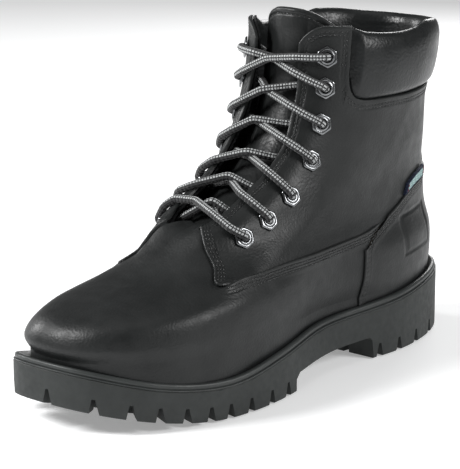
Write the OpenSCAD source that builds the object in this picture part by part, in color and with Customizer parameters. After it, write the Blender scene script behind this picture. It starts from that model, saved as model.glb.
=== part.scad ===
// Steel toe work boot for the left foot, six inches tall and laced shut.
// The toe points to -Y, the outer side of the foot to +X, and the lugs stand on z = 0.

/* [Sole] */
// Length of the outsole
sole_length = 310; // [290:1:330]
// Width of the outsole across the ball of the foot
sole_width = 110; // [104:1:116]
// Depth of the lugs
lug_depth = 6; // [4:0.5:7]
// How far the toe end of the sole curves up off the ground
toe_spring = 14; // [10:1:16]

/* [Upper] */
// Thickness of the outer leather
leather = 1.8; // [1.4:0.1:2]
// Thickness of the layer behind the leather: steel cap, insulation or heel counter
backing = 1.8; // [1.4:0.1:2]
// Thickness of the lining
lining = 1; // [0.8:0.1:1.2]
// How far the padded collar stands out
collar_bulge = 2.4; // [1:0.1:4]
// Distance from the toe back to the rear edge of the steel cap
cap_length = 54; // [48:1:58]

/* [Tongue] */
// Thickness of the tongue's foam
tongue_foam_t = 3; // [2:0.5:4]
// Height of the tongue's top edge, in steps of the last's table
tongue_top = 9.25; // [9:0.05:9.3]

/* [Lace] */
// Diameter of the round lace
lace_d = 4.5; // [3.5:0.1:4.5]
// Width of an eyelet across its flats
eyelet_w = 11; // [9:0.5:12]

/* [Hidden] */

KX = sole_width / 110;   // the tables below are for a sole 110 wide
KY = sole_length / 310;  // and 310 long
X_SHIFT = 1;             // centres the sole's outline on x = 0
GAP = 0.5;               // air between one layer and the next
FIT = 0.3;               // air round a piece that drops into a pocket

// The last: each row is one line round the foot, from the feather line up to the top of the shaft.
// [front z, back z, front y, back y, outer half width, inner half width, y of the widest outer point,
//  y of the widest inner point, front squareness, back squareness, outer waist, inner waist, tip x]
LAST = [
    [ 31,  37, -148, 146, 50, 50, -58, -80, 2.2, 2.6, 12, 12, -10],
    [ 45,  50, -152, 148, 51, 51, -58, -80, 2.2, 2.6, 9, 10, -11],
    [ 57,  64, -145, 148, 49, 46, -56, -73, 2.2, 2.6, 7,  7,  -9],
    [ 64,  78, -118, 146, 44, 39, -45, -47, 2.1, 2.5, 2,  3,  -6],
    [ 73,  92,  -87, 145, 40, 36, -18, -16, 2.0, 2.5, 1,  1,  -3],
    [ 91, 107,  -55, 143, 37, 36,  26,  24, 2.0, 2.4, 0,  0,  -2],
    [111, 123,  -20, 140, 38, 37,  54,  50, 2.1, 2.4, 0,  0,  -2],
    [131, 143,    3, 138, 40, 40,  66,  64, 2.1, 2.3, 0,  0,  -1],
    [159, 164,   15, 140, 43, 43,  74,  72, 2.2, 2.2, 0,  0,   0],
    [195, 190,   18, 144, 45, 45,  80,  79, 2.2, 2.2, 0,  0,   0]];
WAIST_Y = 22;            // where the foot is narrowest
WAIST_SPREAD = 46;       // how gradually it narrows

// The sole's outline, as a row of the same kind without heights; its inner front is squarer.
SOLE = [-155, 155, 55, 56, -45, -85, 2.05, 2.5, 2.4, 13, 13, -13];
// Height of the sole's top rim at equal steps from toe to heel
RIM = [34, 25, 21, 26, 30, 31.5, 34, 37, 39];
SPRING_Y = -75;          // the sole lifts off the ground in front of this
TREAD_END = -21;         // rear end of the forefoot's lugs
HEEL_Y = 55;             // front face of the heel
ARCH_Z = [10, 13];       // underside of the arch at its two ends
WELT_H = 3.5;            // height of the welt strip
FLOOR_T = 4;             // rubber between the lugs and the midsole
WALL_T = 9;              // rubber round the midsole

// Seams, as [angle round the last, height up it]; angles run from the toe tip to the heel.
VAMP_SEAM = [[0, 4.85], [18, 4.88], [31, 4.46], [45, 4.05], [68, 3.17], [75, 3.3], [90, 3.3],
             [101, 3.13], [113, 3.11], [121, 3.32]];
PATCH_SEAM = [[115, 2.3], [117, 2.9], [121, 3.32], [127, 3.75], [132, 4.03], [137, 4.15], [146, 4.22],
              [157, 4.5], [180, 4.6]];
COLLAR_SEAM = [[54, 8.2], [57, 7.93], [62, 7.76], [70, 7.67], [87, 7.61], [102, 7.54], [125, 7.5],
               [180, 7.45]];
FLAP_TOP = [[18, 8.7], [22, 8.82], [29, 8.93], [37, 8.97], [52, 8.97]];
// Front edge of the eyelet flap, as [height, angle]
FLAP_EDGE = [[4.9, 18], [5.25, 24], [5.65, 24], [6.15, 25.5], [6.75, 25], [7.1, 23.5], [7.5, 21], [8, 20],
             [8.4, 18]];
// How far the laced flap stands up off the last, as [height, distance], fading out round the foot
FLAP_LIFT = [[4, 0], [4.4, 2], [4.8, 5.5], [5.2, 5], [5.7, 3], [6.3, 2.8], [6.8, 3.6], [7.3, 3.2], [8, 2],
             [8.8, 0]];
LIFT_ANGLE = [34, 22];   // angle of the greatest lift, and its spread
COLLAR_FRONT = 54;       // angle of the collar's front edge
EYESTAY = [56, 66];      // the insulation fades out between these angles, so the flap is thin
RIM_LEVEL = 8.9;         // height of the collar's rim

// Depths below the outer face of the leather
MIDDLE = leather + GAP;
INNER = MIDDLE + backing + GAP;
EYESTAY_DEPTH = MIDDLE + lining;
WASHER_T = 0.6;          // washer behind each eyelet
LACE_DEPTH = EYESTAY_DEPTH + WASHER_T + lace_d / 2 + 0.6;
TONGUE_DEPTH = LACE_DEPTH + lace_d / 2 + 2;

// Eyelets from the top one down, as [angle, height]
EYELETS = [[38, 8.5], [39, 8], [43, 7.3], [49, 6.4], [54, 5.5], [53.5, 4.95], [49, 4.6]];
// Where the strands from each eyelet cross over the tongue, as [angle, height], and how high up the
// strand from the eyelet below slips under the flap's edge on its way to each eyelet
CROSSINGS = [[0, 0], [-3, 8.44], [-5, 7.92], [-6, 7.35], [1, 6.65], [1, 6.05], [6, 5.5]];
ENTRIES = [8.5, 8.06, 7.36, 6.65, 5.92, 5.38];
// The bar across the lowest eyelets, as [angle, height]
BAR = [[-36, 4.95], [-27, 5.22], [-6, 5.42], [17, 5.18], [38, 4.75]];
BORE_R = 2.6;            // the eyelets' bore, barrel and flange
BARREL_R = 3.2;
FLANGE_T = 1.2;
SEAT = 0.4;              // the flat flange clears the curved leather by this

// Loose ends of the lace, tucked down inside the shaft; the inner side's is the mirror image.
TAIL = [[25.5, 32.5, 176], [28, 35.5, 176], [30, 39, 175], [31.5, 43.5, 173], [32.5, 49, 169],
        [33, 55, 164], [33, 61, 157], [32, 66, 149], [31, 70, 140], [29, 73, 131], [27, 75, 122],
        [25, 76, 113], [24, 77, 104], [24, 77, 96]];
AGLET_L = 22;
AGLET_R = 1.9;

// ---- curves ----

function unit(v) = v / norm(v);
function catmull(a, b, c, d, t) =
    0.5 * (2 * b + (c - a) * t + (2 * a - 5 * b + 4 * c - d) * t * t + (3 * b - a - 3 * c + d) * t * t * t);
// Value of an evenly spaced table at position u, smooth through every entry
function smooth_row(table, u) =
    let (n = len(table) - 1, i = min(max(floor(u), 0), n - 1), p = table[i], q = table[i + 1],
         before = i > 0 ? table[i - 1] : 2 * p - q, after = i < n - 1 ? table[i + 2] : 2 * q - p)
    catmull(before, p, q, after, u - i);
function wrap(a) = ((a % 360) + 360) % 360;
function fold(a) = let (w = wrap(a)) min(w, 360 - w);
function waist(y) = exp(-pow((y / KY - WAIST_Y) / WAIST_SPREAD, 2));
function spread(a0, a1, n) = [for (i = [0 : n]) a0 + (a1 - a0) * i / n];
function backwards(list) = [for (i = [len(list) - 1 : -1 : 0]) list[i]];
// The same columns on the inner side, and on both sides
function inner_side(columns) = [for (a = backwards(columns)) -a];
function both_sides(columns) = concat(inner_side([for (a = columns) if (a > 0) a]), columns);

// Height of the sole's top rim, and of the ground below the sole
function rim(y) = smooth_row(RIM, (y / KY + 155) / 310 * (len(RIM) - 1));
function spring(y) = y / KY < SPRING_Y ? toe_spring * pow((SPRING_Y - y / KY) / (155 + SPRING_Y), 1.8) : 0;

// Point of a closed line round the foot at angle a: a superellipse in four quarters, pinched at the waist
function ring_point(a, front_y, back_y, outer_w, inner_w, outer_y, inner_y, n, waist_w, tip) =
    let (w = wrap(a), outer = w <= 180, front = w <= 90 || w >= 270,
         s = pow(abs(sin(w)), 2 / n), c = pow(abs(cos(w)), 2 / n),
         y0 = outer ? outer_y : inner_y, y = (y0 + ((front ? front_y : back_y) - y0) * c) * KY,
         side = outer ? 1 : -1, width = outer ? outer_w : inner_w)
    [((front ? tip : 0) * (1 - s) + side * s * (width - waist_w * waist(y))) * KX + X_SHIFT, y];

function sole_point(a) =
    let (w = wrap(a), outer = w <= 180, front = w <= 90 || w >= 270, r = SOLE)
    ring_point(a, r[0], r[1], r[2], r[3], r[4], r[5], front ? (outer ? r[6] : r[7]) : r[8],
               outer ? r[9] : r[10], r[11]);
function inset(f, a, d) =
    let (t = unit(f(a + 0.5) - f(a - 0.5))) f(a) - d * [t[1], -t[0]];
function sole_outline(d) = [for (a = [0 : 6 : 354]) inset(function(b) sole_point(b), a, d)];

// Point on the last at angle a and height h; below the feather line it drops straight to the sole.
function last_point(a, h) =
    let (r = smooth_row(LAST, max(h, 0)), w = wrap(a), outer = w <= 180, front = w <= 90 || w >= 270,
         p = ring_point(a, r[2], r[3], r[4], r[5], r[6], r[7], front ? r[8] : r[9],
                        outer ? r[10] : r[11], r[12]),
         z = r[0] + (r[1] - r[0]) * (p[1] / KY - r[2]) / (r[3] - r[2]))
    [p[0], p[1], z + min(h, 0) * (z - rim(p[1]) + WELT_H - GAP)];
function last_normal(a, h) =
    unit(cross(last_point(a + 0.5, h) - last_point(a - 0.5, h),
               last_point(a, h + 0.02) - last_point(a, h - 0.02)));
// Point a distance d outside the last, and the same for the parts that the laced flap lifts
function off_last(a, h, d) = last_point(a, h) + d * last_normal(a, h);
function lift(a, h) = lookup(h, FLAP_LIFT) * exp(-pow((fold(a) - LIFT_ANGLE[0]) / LIFT_ANGLE[1], 2));
function off_shaft(a, h, d) = off_last(a, h, d + lift(a, h));
function shaft_normal(a, h) =
    unit(cross(off_shaft(a + 4, h, 0) - off_shaft(a - 4, h, 0),
               off_shaft(a, h + 0.15, 0) - off_shaft(a, h - 0.15, 0)));
function foot_outline(d) = [for (a = [0 : 6 : 354]) let (p = off_last(a, -0.5, d)) [p[0], p[1]]];
// Height on the last at which its surface reaches y
function height_at(a, y, lo = 1, hi = 6, n = 14) =
    n == 0 ? (lo + hi) / 2
    : let (m = (lo + hi) / 2)
      last_point(a, m)[1] < y ? height_at(a, y, m, hi, n - 1) : height_at(a, y, lo, m, n - 1);

// ---- shared shapes ----

// Closed sheet that follows the last: place(a, t) gives its angle and height for column a and t in 0..1,
// and outer(a, t) and inner(a, t) how far its two faces stand off the last, or off the lifted shaft.
module sheet(columns, rows, place, outer, inner, lifted = true) {
    n = len(columns);
    m = rows + 1;
    face = function(dist) [for (a = columns) for (j = [0 : rows])
        let (t = j / rows, q = place(a, t), d = dist(a, t))
        lifted ? off_shaft(q[0], q[1], d) : off_last(q[0], q[1], d)];
    o = n * m;
    quad = function(p, q, r, s) [[p, q, r], [p, r, s]];
    faces = concat(
        [for (i = [0 : n - 2]) for (j = [0 : rows - 1]) let (k = i * m + j)
            each quad(k, k + 1, k + m + 1, k + m)],
        [for (i = [0 : n - 2]) for (j = [0 : rows - 1]) let (k = o + i * m + j)
            each quad(k, k + m, k + m + 1, k + 1)],
        [for (i = [0 : n - 2]) let (k = i * m) each quad(k, k + m, o + k + m, o + k)],
        [for (i = [0 : n - 2]) let (k = i * m + rows) each quad(k, o + k, o + k + m, k + m)],
        [for (j = [0 : rows - 1]) each quad(j, o + j, o + j + 1, j + 1)],
        [for (j = [0 : rows - 1]) let (k = (n - 1) * m + j) each quad(k, k + 1, o + k + 1, o + k)]);
    polyhedron(points = concat(face(outer), face(inner)), faces = faces);
}

function flat(d) = function(a, t) d;

// Vector v, square to direction p, turned with as little twist as possible to be square to q
function turned(v, p, q) = unit(v - (v * q) / (1 + p * q) * (p + q));
// Round tube along a route
module tube(route, d, sides) {
    n = len(route);
    dir = [for (i = [0 : n - 1]) unit(route[min(i + 1, n - 1)] - route[max(i - 1, 0)])];
    start = unit(cross(dir[0], abs(dir[0][2]) < 0.9 ? [0, 0, 1] : [1, 0, 0]));
    side = [for (i = 0, v = start; i < n;
                 i = i + 1, v = i < n ? turned(v, dir[i - 1], dir[i]) : v) v];
    points = [for (i = [0 : n - 1]) for (k = [0 : sides - 1]) let (w = k * 360 / sides)
        route[i] + d / 2 * (cos(w) * side[i] + sin(w) * cross(dir[i], side[i]))];
    faces = concat(
        [[for (k = [0 : sides - 1]) k]],
        [for (i = [0 : n - 2]) for (k = [0 : sides - 1])
            let (p = i * sides + k, q = i * sides + (k + 1) % sides)
            each [[p, p + sides, q + sides], [p, q + sides, q]]],
        [[for (k = [sides - 1 : -1 : 0]) (n - 1) * sides + k]]);
    polyhedron(points = points, faces = faces);
}

// Slab of the boot's whole width between two heights that vary along its length
module band(low, high, y0 = -160, y1 = 160, step = 10) {
    n = ceil((y1 - y0) / step);
    ys = spread(y0 * KY, y1 * KY, n);
    translate([-80, 0, 0])
        rotate([90, 0, 90])
            linear_extrude(160)
                polygon(concat([for (y = ys) [y, low(y)]], [for (y = backwards(ys)) [y, high(y)]]));
}

module prism(outline) {
    translate([0, 0, -10]) linear_extrude(80) polygon(outline);
}

// Layer of the bottom: an outline cut to a band that follows the sole's rim
module rim_layer(outline, low, high) {
    intersection() {
        prism(outline);
        band(function(y) rim(y) + low, function(y) rim(y) + high);
    }
}

// ---- sole ----

function sole_edge(y, side) =
    let (r = SOLE, y0 = side > 0 ? r[4] : r[5], front = y < y0,
         n = front ? (side > 0 ? r[6] : r[7]) : r[8],
         c = pow(abs(y - y0) / abs((front ? r[0] : r[1]) - y0), n / 2), a = acos(c))
    sole_point(side * (front ? a : 180 - a));

NOTCHES = [-144, -131, -118, -104, -90, -77, -62, -45, -29, 64, 81, 101, 123];
TOE_NOTCHES = [-30, 4];  // angles of the two gaps at the toe
NOTCH_W = [7, 3.6];      // width of a gap at the ground and at its top
NOTCH_L = 22;            // length of a side lug
RIB_W = 4;               // width of the channel inside the side lugs

module notch(p, turn) {
    translate([p[0], p[1], spring(p[1])])
        rotate([0, 0, turn])
            translate([-NOTCH_L, 0, 0])
                rotate([90, 0, 90])
                    linear_extrude(NOTCH_L + 6)
                        polygon([[-NOTCH_W[0] / 2, -8], [NOTCH_W[0] / 2, -8],
                                 [NOTCH_W[1] / 2, lug_depth + 8], [-NOTCH_W[1] / 2, lug_depth + 8]]);
}

module side_notches() {
    for (side = [1, -1], y = NOTCHES) {
        p = sole_edge(y, side);
        t = sole_edge(y + 1, side) - sole_edge(y - 1, side);
        notch(p, atan2(-t[0] * side, t[1] * side));
    }
    for (a = TOE_NOTCHES) {
        t = sole_point(a + 0.5) - sole_point(a - 0.5);
        notch(sole_point(a), atan2(-t[0], t[1]));
    }
}

// Channels between the side lugs and the middle lugs, and across the middle
module tread_channels() {
    difference() {
        prism(sole_outline(NOTCH_L - RIB_W));
        prism(sole_outline(NOTCH_L));
    }
    for (y = [-124 : 17 : -30], turn = [-1, 1])
        translate([turn * 14, y * KY, 0]) rotate([0, 0, turn * 20]) cube([32, RIB_W, 60], center = true);
    for (y = [81, 101, 121])
        translate([0, y * KY, 0]) cube([44, RIB_W, 60], center = true);
}

// All the gaps in the tread, as deep as the lugs
module tread() {
    intersection() {
        union() {
            side_notches();
            tread_channels();
        }
        band(function(y) -5, function(y) spring(y) + lug_depth, step = 5);
    }
}

module arch_cut() {
    translate([-80, 0, 0])
        rotate([90, 0, 90])
            linear_extrude(160)
                polygon([[TREAD_END * KY, -5], [TREAD_END * KY, ARCH_Z[0] - 3],
                         [(TREAD_END + 4) * KY, ARCH_Z[0]], [(HEEL_Y - 2) * KY, ARCH_Z[1]],
                         [HEEL_Y * KY, ARCH_Z[1] - 2], [(HEEL_Y + 2) * KY, -5]]);
}

// Top of the rubber under the midsole, higher over the arch
function floor_z(y) =
    let (over_arch = y / KY > TREAD_END - 10 && y / KY < HEEL_Y + 10)
    max(spring(y) + lug_depth + FLOOR_T, over_arch ? ARCH_Z[1] + 3 : 0);

module pocket() {
    intersection() {
        prism(sole_outline(WALL_T));
        band(function(y) floor_z(y), function(y) 80);
    }
}

module outsole() color([0.2, 0.2, 0.2]) {
    difference() {
        intersection() {
            prism(sole_outline(0));
            band(function(y) spring(y), function(y) rim(y) - WELT_H - 0.1, step = 5);
        }
        pocket();
        arch_cut();
        tread();
    }
}

// Strip that runs round the top of the outsole, against the upper
module welt() color([0.16, 0.16, 0.16]) {
    intersection() {
        difference() {
            prism(sole_outline(0));
            prism(foot_outline(0.4));
        }
        band(function(y) rim(y) - WELT_H, function(y) rim(y), step = 5);
    }
}

CUSHION = [0, 108, 20];  // x, y and radius of the heel cushion
CUSHION_Z = 20.3;        // its underside
CUSHION_H = 11;
SHANK = [-14, 78, 14];   // front and back y of the shank, and its width
SHANK_T = 1.6;
SHANK_TOP = 0.4;         // how far the shank lies below the midsole's top

// The shank, or with room round it the slot that it lies in
module shank_band(room) {
    w = SHANK[2] + 2 * room;
    top = WELT_H + SHANK_TOP;
    intersection() {
        translate([X_SHIFT - w / 2, -200, -10]) cube([w, 400, 80]);
        band(function(y) rim(y) - top - SHANK_T - room, function(y) rim(y) - top + 10 * room,
             SHANK[0] - room, SHANK[1] + room);
    }
}

module cushion_shape(room) {
    translate([CUSHION[0], CUSHION[1] * KY, CUSHION_Z - room])
        cylinder(r = CUSHION[2] + room, h = CUSHION_H + 20 * room, $fn = 64);
}

module midsole() color([0.55, 0.55, 0.5]) {
    difference() {
        intersection() {
            prism(sole_outline(WALL_T + FIT));
            band(function(y) floor_z(y) + FIT, function(y) rim(y) - WELT_H - 0.1);
        }
        shank_band(FIT);
        cushion_shape(FIT);
    }
}

module heel_cushion() color([0.8, 0.75, 0.3]) cushion_shape(0);

module shank() color([0.6, 0.6, 0.62]) shank_band(0);

module insole_board() color([0.75, 0.65, 0.5]) rim_layer(foot_outline(-INNER - lining - 1), -3.2, -1.2);

FOOTBED_INSET = 9;       // how far the footbed's edge lies inside the last
module footbed_foam() color([0.3, 0.3, 0.32]) rim_layer(foot_outline(-FOOTBED_INSET), -0.8, 4.4);
module footbed_cover() color([0.25, 0.25, 0.27]) rim_layer(foot_outline(-FOOTBED_INSET), 4.45, 5.4);

// ---- upper ----

// Columns of the sheets that meet at the seams, on the outer side
FRONT_COLUMNS = [0, 6, 12, 18, 24, 31, 38, 45, 52, 57, 63, 70, 78, 86, 94, 102, 110, 115];
PATCH_COLUMNS = [115, 117, 121, 127, 132, 137, 141, 146, 151, 157, 162, 168, 174];
BACK_COLUMNS = concat(PATCH_COLUMNS, [180], [for (a = backwards(PATCH_COLUMNS)) 360 - a]);
QUARTER_COLUMNS = [18, 24, 31, 38, 45, 52, 54, 57, 63, 70, 78, 86, 94, 102, 110, 115, 121, 127, 132, 137,
                   141, 146, 151, 157, 162, 168, 174, 179.7];
SEAM_GAP = 0.02;         // gap at a seam, in steps of height
// Angle of the patch's front edge at height h, and how far the vamp's columns shift back to follow it
function patch_edge(h) = lookup(h, [for (i = [0 : 2]) [PATCH_SEAM[i][1], PATCH_SEAM[i][0]]]);
function vamp_lean(f, h) = max(0, (f - 100) / 15) * (patch_edge(h) - 115 - 0.5);

module vamp() color([0.19, 0.2, 0.2])
    sheet(both_sides(FRONT_COLUMNS), 13,
          function(a, t) let (f = abs(a), top = lookup(f + vamp_lean(f, 3.2), VAMP_SEAM) - SEAM_GAP,
                              h = -1 + (top + 1) * t)
              [a + sign(a) * vamp_lean(f, h), h],
          flat(0), flat(-leather), lifted = false);

QUARTER_LOW = concat([for (p = VAMP_SEAM) if (p[0] >= 18 && p[0] < 121) p],
                     [for (p = PATCH_SEAM) if (p[0] >= 121) p]);
QUARTER_TOP = concat(FLAP_TOP, COLLAR_SEAM);
// Shift of the columns near the flap's front edge, so that they follow it
function lean(a, h) = (lookup(h, FLAP_EDGE) - 18) * max(0, 1 - (a - 18) / 14);

// Calls its children in the frame of one eyelet, whose +Z points straight out of the leather
module at_eyelet(side, i) {
    n = shaft_normal(side * EYELETS[i][0], EYELETS[i][1]);
    translate(eyelet_point(side, i, 0)) rotate([0, acos(n[2]), atan2(n[1], n[0])]) children();
}

module eyelet_holes(side) {
    for (i = [0 : len(EYELETS) - 1])
        at_eyelet(side, i) translate([0, 0, -12]) cylinder(r = BARREL_R + 0.1, h = 16, $fn = 32);
}

module quarter(side) {
    difference() {
        sheet(side > 0 ? QUARTER_COLUMNS : inner_side(QUARTER_COLUMNS), 8,
              function(a, t) let (f = abs(a), low = lookup(f, QUARTER_LOW) + SEAM_GAP,
                                  h = low + (lookup(f, QUARTER_TOP) - SEAM_GAP - low) * t)
                  [side * (f + lean(f, h)), h],
              flat(0), flat(-leather));
        eyelet_holes(side);
    }
}

module quarter_lateral() color([0.2, 0.21, 0.21]) quarter(1);
module quarter_medial() color([0.2, 0.21, 0.21]) quarter(-1);

module heel_patch() color([0.18, 0.19, 0.19])
    sheet(BACK_COLUMNS, 8, function(a, t) [a, -1 + (lookup(fold(a), PATCH_SEAM) - SEAM_GAP + 1) * t],
          flat(0), flat(-leather));

function bulge(t) = collar_bulge * sin(180 * t);
function on_collar(a, t, low, high) =
    let (lo = lookup(fold(a), COLLAR_SEAM) + low) [a, lo + (high - lo) * t];

module collar_cover() color([0.23, 0.24, 0.24])
    sheet(spread(COLLAR_FRONT + 1, 359 - COLLAR_FRONT, 26), 6,
          function(a, t) on_collar(a, t, 0.03, RIM_LEVEL + 0.05),
          function(a, t) 0.3 + bulge(t), function(a, t) 0.3 + bulge(t) - leather);

module collar_foam() color([0.7, 0.7, 0.6])
    sheet(spread(EYESTAY[1], 360 - EYESTAY[1], 24), 5,
          function(a, t) on_collar(a, t, 0.1, RIM_LEVEL),
          function(a, t) bulge(t) - leather - 0.1, flat(-MIDDLE - backing));

LABEL = [130, 147, 0.4]; // angles of the side label's ends, and its height
module side_label() color([0.6, 0.75, 0.75])
    sheet(spread(LABEL[0], LABEL[1], 6), 2,
          function(a, t) [a, lookup(a, PATCH_SEAM) + 0.06 + LABEL[2] * t], flat(1.4), flat(0.3));

// ---- layers behind the leather ----

CAP_BACK = -152 + cap_length;  // y of the cap's rear edge
STRIP_L = 10;                  // length of the soft strip behind the cap

module steel_toe_cap() color([0.7, 0.7, 0.72])
    sheet(spread(-72, 65, 20), 9,
          function(a, t) [a, -0.4 + (height_at(a, CAP_BACK * KY) + 0.4) * t],
          flat(-MIDDLE), flat(-MIDDLE - backing), lifted = false);

module toe_cap_strip() color([0.1, 0.1, 0.1])
    sheet(spread(-68, 60, 18), 2,
          function(a, t) [a, height_at(a, (CAP_BACK + 0.6 + (STRIP_L - 0.6) * t) * KY)],
          flat(-MIDDLE), flat(-MIDDLE - backing), lifted = false);

// Lower edge of the vamp's insulation: behind the strip in front, and down to the sole further back
function insulation_low(a) =
    let (y = (CAP_BACK + STRIP_L + 0.6) * KY, past = last_point(a, 1)[1] - y)
    past < 0 ? height_at(a, y) : max(-0.9, 1 - past / 12);
VAMP_COLUMNS = spread(-110, 110, 44);
SLACK = 0.3;                   // the vamp's insulation hangs this much further in than the cap

module vamp_insulation() color([0.85, 0.85, 0.8])
    sheet(VAMP_COLUMNS, 14,
          function(a, t) let (lo = insulation_low(a)) [a, lo + (lookup(fold(a), VAMP_SEAM) - 0.1 - lo) * t],
          flat(-MIDDLE - SLACK), flat(-MIDDLE - SLACK - backing), lifted = false);

COUNTER_TOP = 3.3;
module heel_counter() color([0.85, 0.82, 0.7])
    sheet(BACK_COLUMNS, 5, function(a, t) [a, -0.9 + (COUNTER_TOP + 0.9) * t],
          flat(-MIDDLE), flat(-MIDDLE - backing));

module shaft_insulation() color([0.85, 0.85, 0.8])
    sheet(spread(EYESTAY[1] + 2, 358 - EYESTAY[1], 24), 6,
          function(a, t) let (lo = fold(a) < 111 ? lookup(fold(a), VAMP_SEAM) + 0.1 : COUNTER_TOP + 0.1)
              [a, lo + (lookup(fold(a), COLLAR_SEAM) - 0.1 - lo) * t],
          flat(-MIDDLE), flat(-MIDDLE - backing));

TOE_DEPTH = INNER + GAP;       // the toe's lining hangs free of the insulation
module toe_lining() color([0.35, 0.35, 0.37])
    sheet(concat([-112], VAMP_COLUMNS, [112]), 16,
          function(a, t) [a, -0.9 + (lookup(fold(a), VAMP_SEAM) - 0.1 + 0.9) * t],
          flat(-TOE_DEPTH), flat(-TOE_DEPTH - lining), lifted = false);

SHAFT_TOP = concat(FLAP_TOP, [[180, RIM_LEVEL]]);
SHAFT_LOW = [[18, 4.95], [31, 4.56], [45, 4.15], [68, 3.27], [75, 3.4], [90, 3.4], [112, 3.22], [115, -0.9],
             [180, -0.9]];
SHAFT_COLUMNS = [18, 25, 32, 38, 44, 50, 56, 61, 66, 75, 85, 95, 105, 112, 115, 125, 136, 147, 158, 169];

// How deep the lining lies: close behind the leather in the flap, behind the insulation further back
function lining_depth(a) = lookup(fold(a), [[EYESTAY[0], MIDDLE], [EYESTAY[1], INNER]]);

module shaft_lining() color([0.3, 0.31, 0.31]) difference() {
    sheet(concat(SHAFT_COLUMNS, [180], [for (a = backwards(SHAFT_COLUMNS)) 360 - a]), 9,
          function(a, t) let (f = fold(a), low = lookup(f, SHAFT_LOW),
                              h = low + (lookup(f, SHAFT_TOP) - low) * t)
              [a < 180 ? a + lean(f, h) : a - lean(f, h), h],
          function(a, t) -lining_depth(a), function(a, t) -lining_depth(a) - lining);
    eyelet_holes(1);
    eyelet_holes(-1);
}

// ---- tongue ----

TONGUE_BASE = 4.3;       // height of its lower edge, under the vamp
TONGUE_A = 46;           // angle of its side edges
TONGUE_SKIN = 1.2;
TONGUE_LINING = 0.8;
TONGUE_CROWN = 2.6;      // how far its middle stands up between the flaps
// The tongue lies flat under the vamp and only follows the lifted flaps above it.
function tongue_face(a, h) =
    -TONGUE_DEPTH + (abs(a) < 20 ? TONGUE_CROWN * cos(a * 4.5) : 0)
    - lift(a, h) * lookup(h, [[4.8, 1], [5.3, 0]]);

module tongue_layer(from, to, in) {
    level = function(a, t) let (top = tongue_top - 0.3 * pow(a / TONGUE_A, 2) - in * 0.02)
        TONGUE_BASE + (top - TONGUE_BASE) * t;
    sheet(spread(-TONGUE_A + in, TONGUE_A - in, 12), 11, function(a, t) [a, level(a, t)],
          function(a, t) tongue_face(a, level(a, t)) - from,
          function(a, t) tongue_face(a, level(a, t)) - to);
}

module tongue_leather() color([0.2, 0.21, 0.21]) tongue_layer(0, TONGUE_SKIN, 0);
module tongue_foam() color([0.7, 0.7, 0.6])
    tongue_layer(TONGUE_SKIN + 0.2, TONGUE_SKIN + 0.2 + tongue_foam_t, 2);
module tongue_lining() color([0.3, 0.31, 0.31])
    tongue_layer(TONGUE_SKIN + 0.4 + tongue_foam_t, TONGUE_SKIN + 0.4 + tongue_foam_t + TONGUE_LINING, 0);

// Soft fold that closes the gap between the tongue's edge and the flap
GUSSET_A = [48, 64];     // angles of its two edges
GUSSET_H = [5.4, 7.8];   // heights of its two ends
GUSSET_T = 0.8;
module gusset(side) {
    near = INNER + lining + 1;
    deep = TONGUE_DEPTH + 2;
    depth = function(a) lookup(abs(a), [[GUSSET_A[0], deep], [GUSSET_A[1], near]]);
    columns = spread(GUSSET_A[0], GUSSET_A[1], 3);
    sheet(side > 0 ? columns : inner_side(columns), 6,
          function(a, t) [a, GUSSET_H[0] + (GUSSET_H[1] - GUSSET_H[0]) * t],
          function(a, t) -depth(a), function(a, t) -depth(a) - GUSSET_T);
}

module gusset_lateral() color([0.17, 0.17, 0.17]) gusset(1);
module gusset_medial() color([0.17, 0.17, 0.17]) gusset(-1);

// ---- eyelets and lace ----

function eyelet_point(side, i, d) =
    let (a = side * EYELETS[i][0], h = EYELETS[i][1]) off_shaft(a, h, 0) + d * shaft_normal(a, h);

module eyelets(side) {
    for (i = [0 : len(EYELETS) - 1])
        at_eyelet(side, i) difference() {
            union() {
                translate([0, 0, SEAT]) cylinder(d = eyelet_w / cos(30), h = FLANGE_T, $fn = 6);
                translate([0, 0, -EYESTAY_DEPTH - SEAT - WASHER_T])
                    cylinder(r = BARREL_R, h = EYESTAY_DEPTH + 2 * SEAT + WASHER_T + 0.5, $fn = 32);
            }
            translate([0, 0, -12]) cylinder(r = BORE_R, h = 16, $fn = 32);
        }
}

module eyelets_lateral() color([0.3, 0.3, 0.32]) eyelets(1);
module eyelets_medial() color([0.3, 0.3, 0.32]) eyelets(-1);

WASHER_R = 4.6;
module eyelet_washers(side) {
    for (i = [0 : len(EYELETS) - 1])
        at_eyelet(side, i) translate([0, 0, -EYESTAY_DEPTH - SEAT - WASHER_T]) difference() {
            cylinder(r = WASHER_R, h = WASHER_T - 0.1, $fn = 32);
            translate([0, 0, -1]) cylinder(r = BARREL_R + 0.05, h = 3, $fn = 32);
        }
}

module eyelet_washers_lateral() color([0.4, 0.4, 0.42]) eyelet_washers(1);
module eyelet_washers_medial() color([0.4, 0.4, 0.42]) eyelet_washers(-1);

OVER_FLANGE = SEAT + FLANGE_T + lace_d / 2 + 0.1;  // height of the lace's middle where it lies on an eyelet
OVER_FLAP = lace_d / 2 + 0.4;               // and where it lies on the flap

// Point at the flap's edge at height h
function edge_point(side, h, d) = off_shaft(side * (lookup(h, FLAP_EDGE) - (d > 0 ? 1 : 0)), h, d);
// Strands that run to the outer side cross on top of those that run to the inner side.
function cross_depth(side) = side < 0 ? 1.6 : 1.6 - lace_d - 0.1;
function cross_point(i, side) = off_shaft(CROSSINGS[i][0], CROSSINGS[i][1], cross_depth(side));
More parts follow.
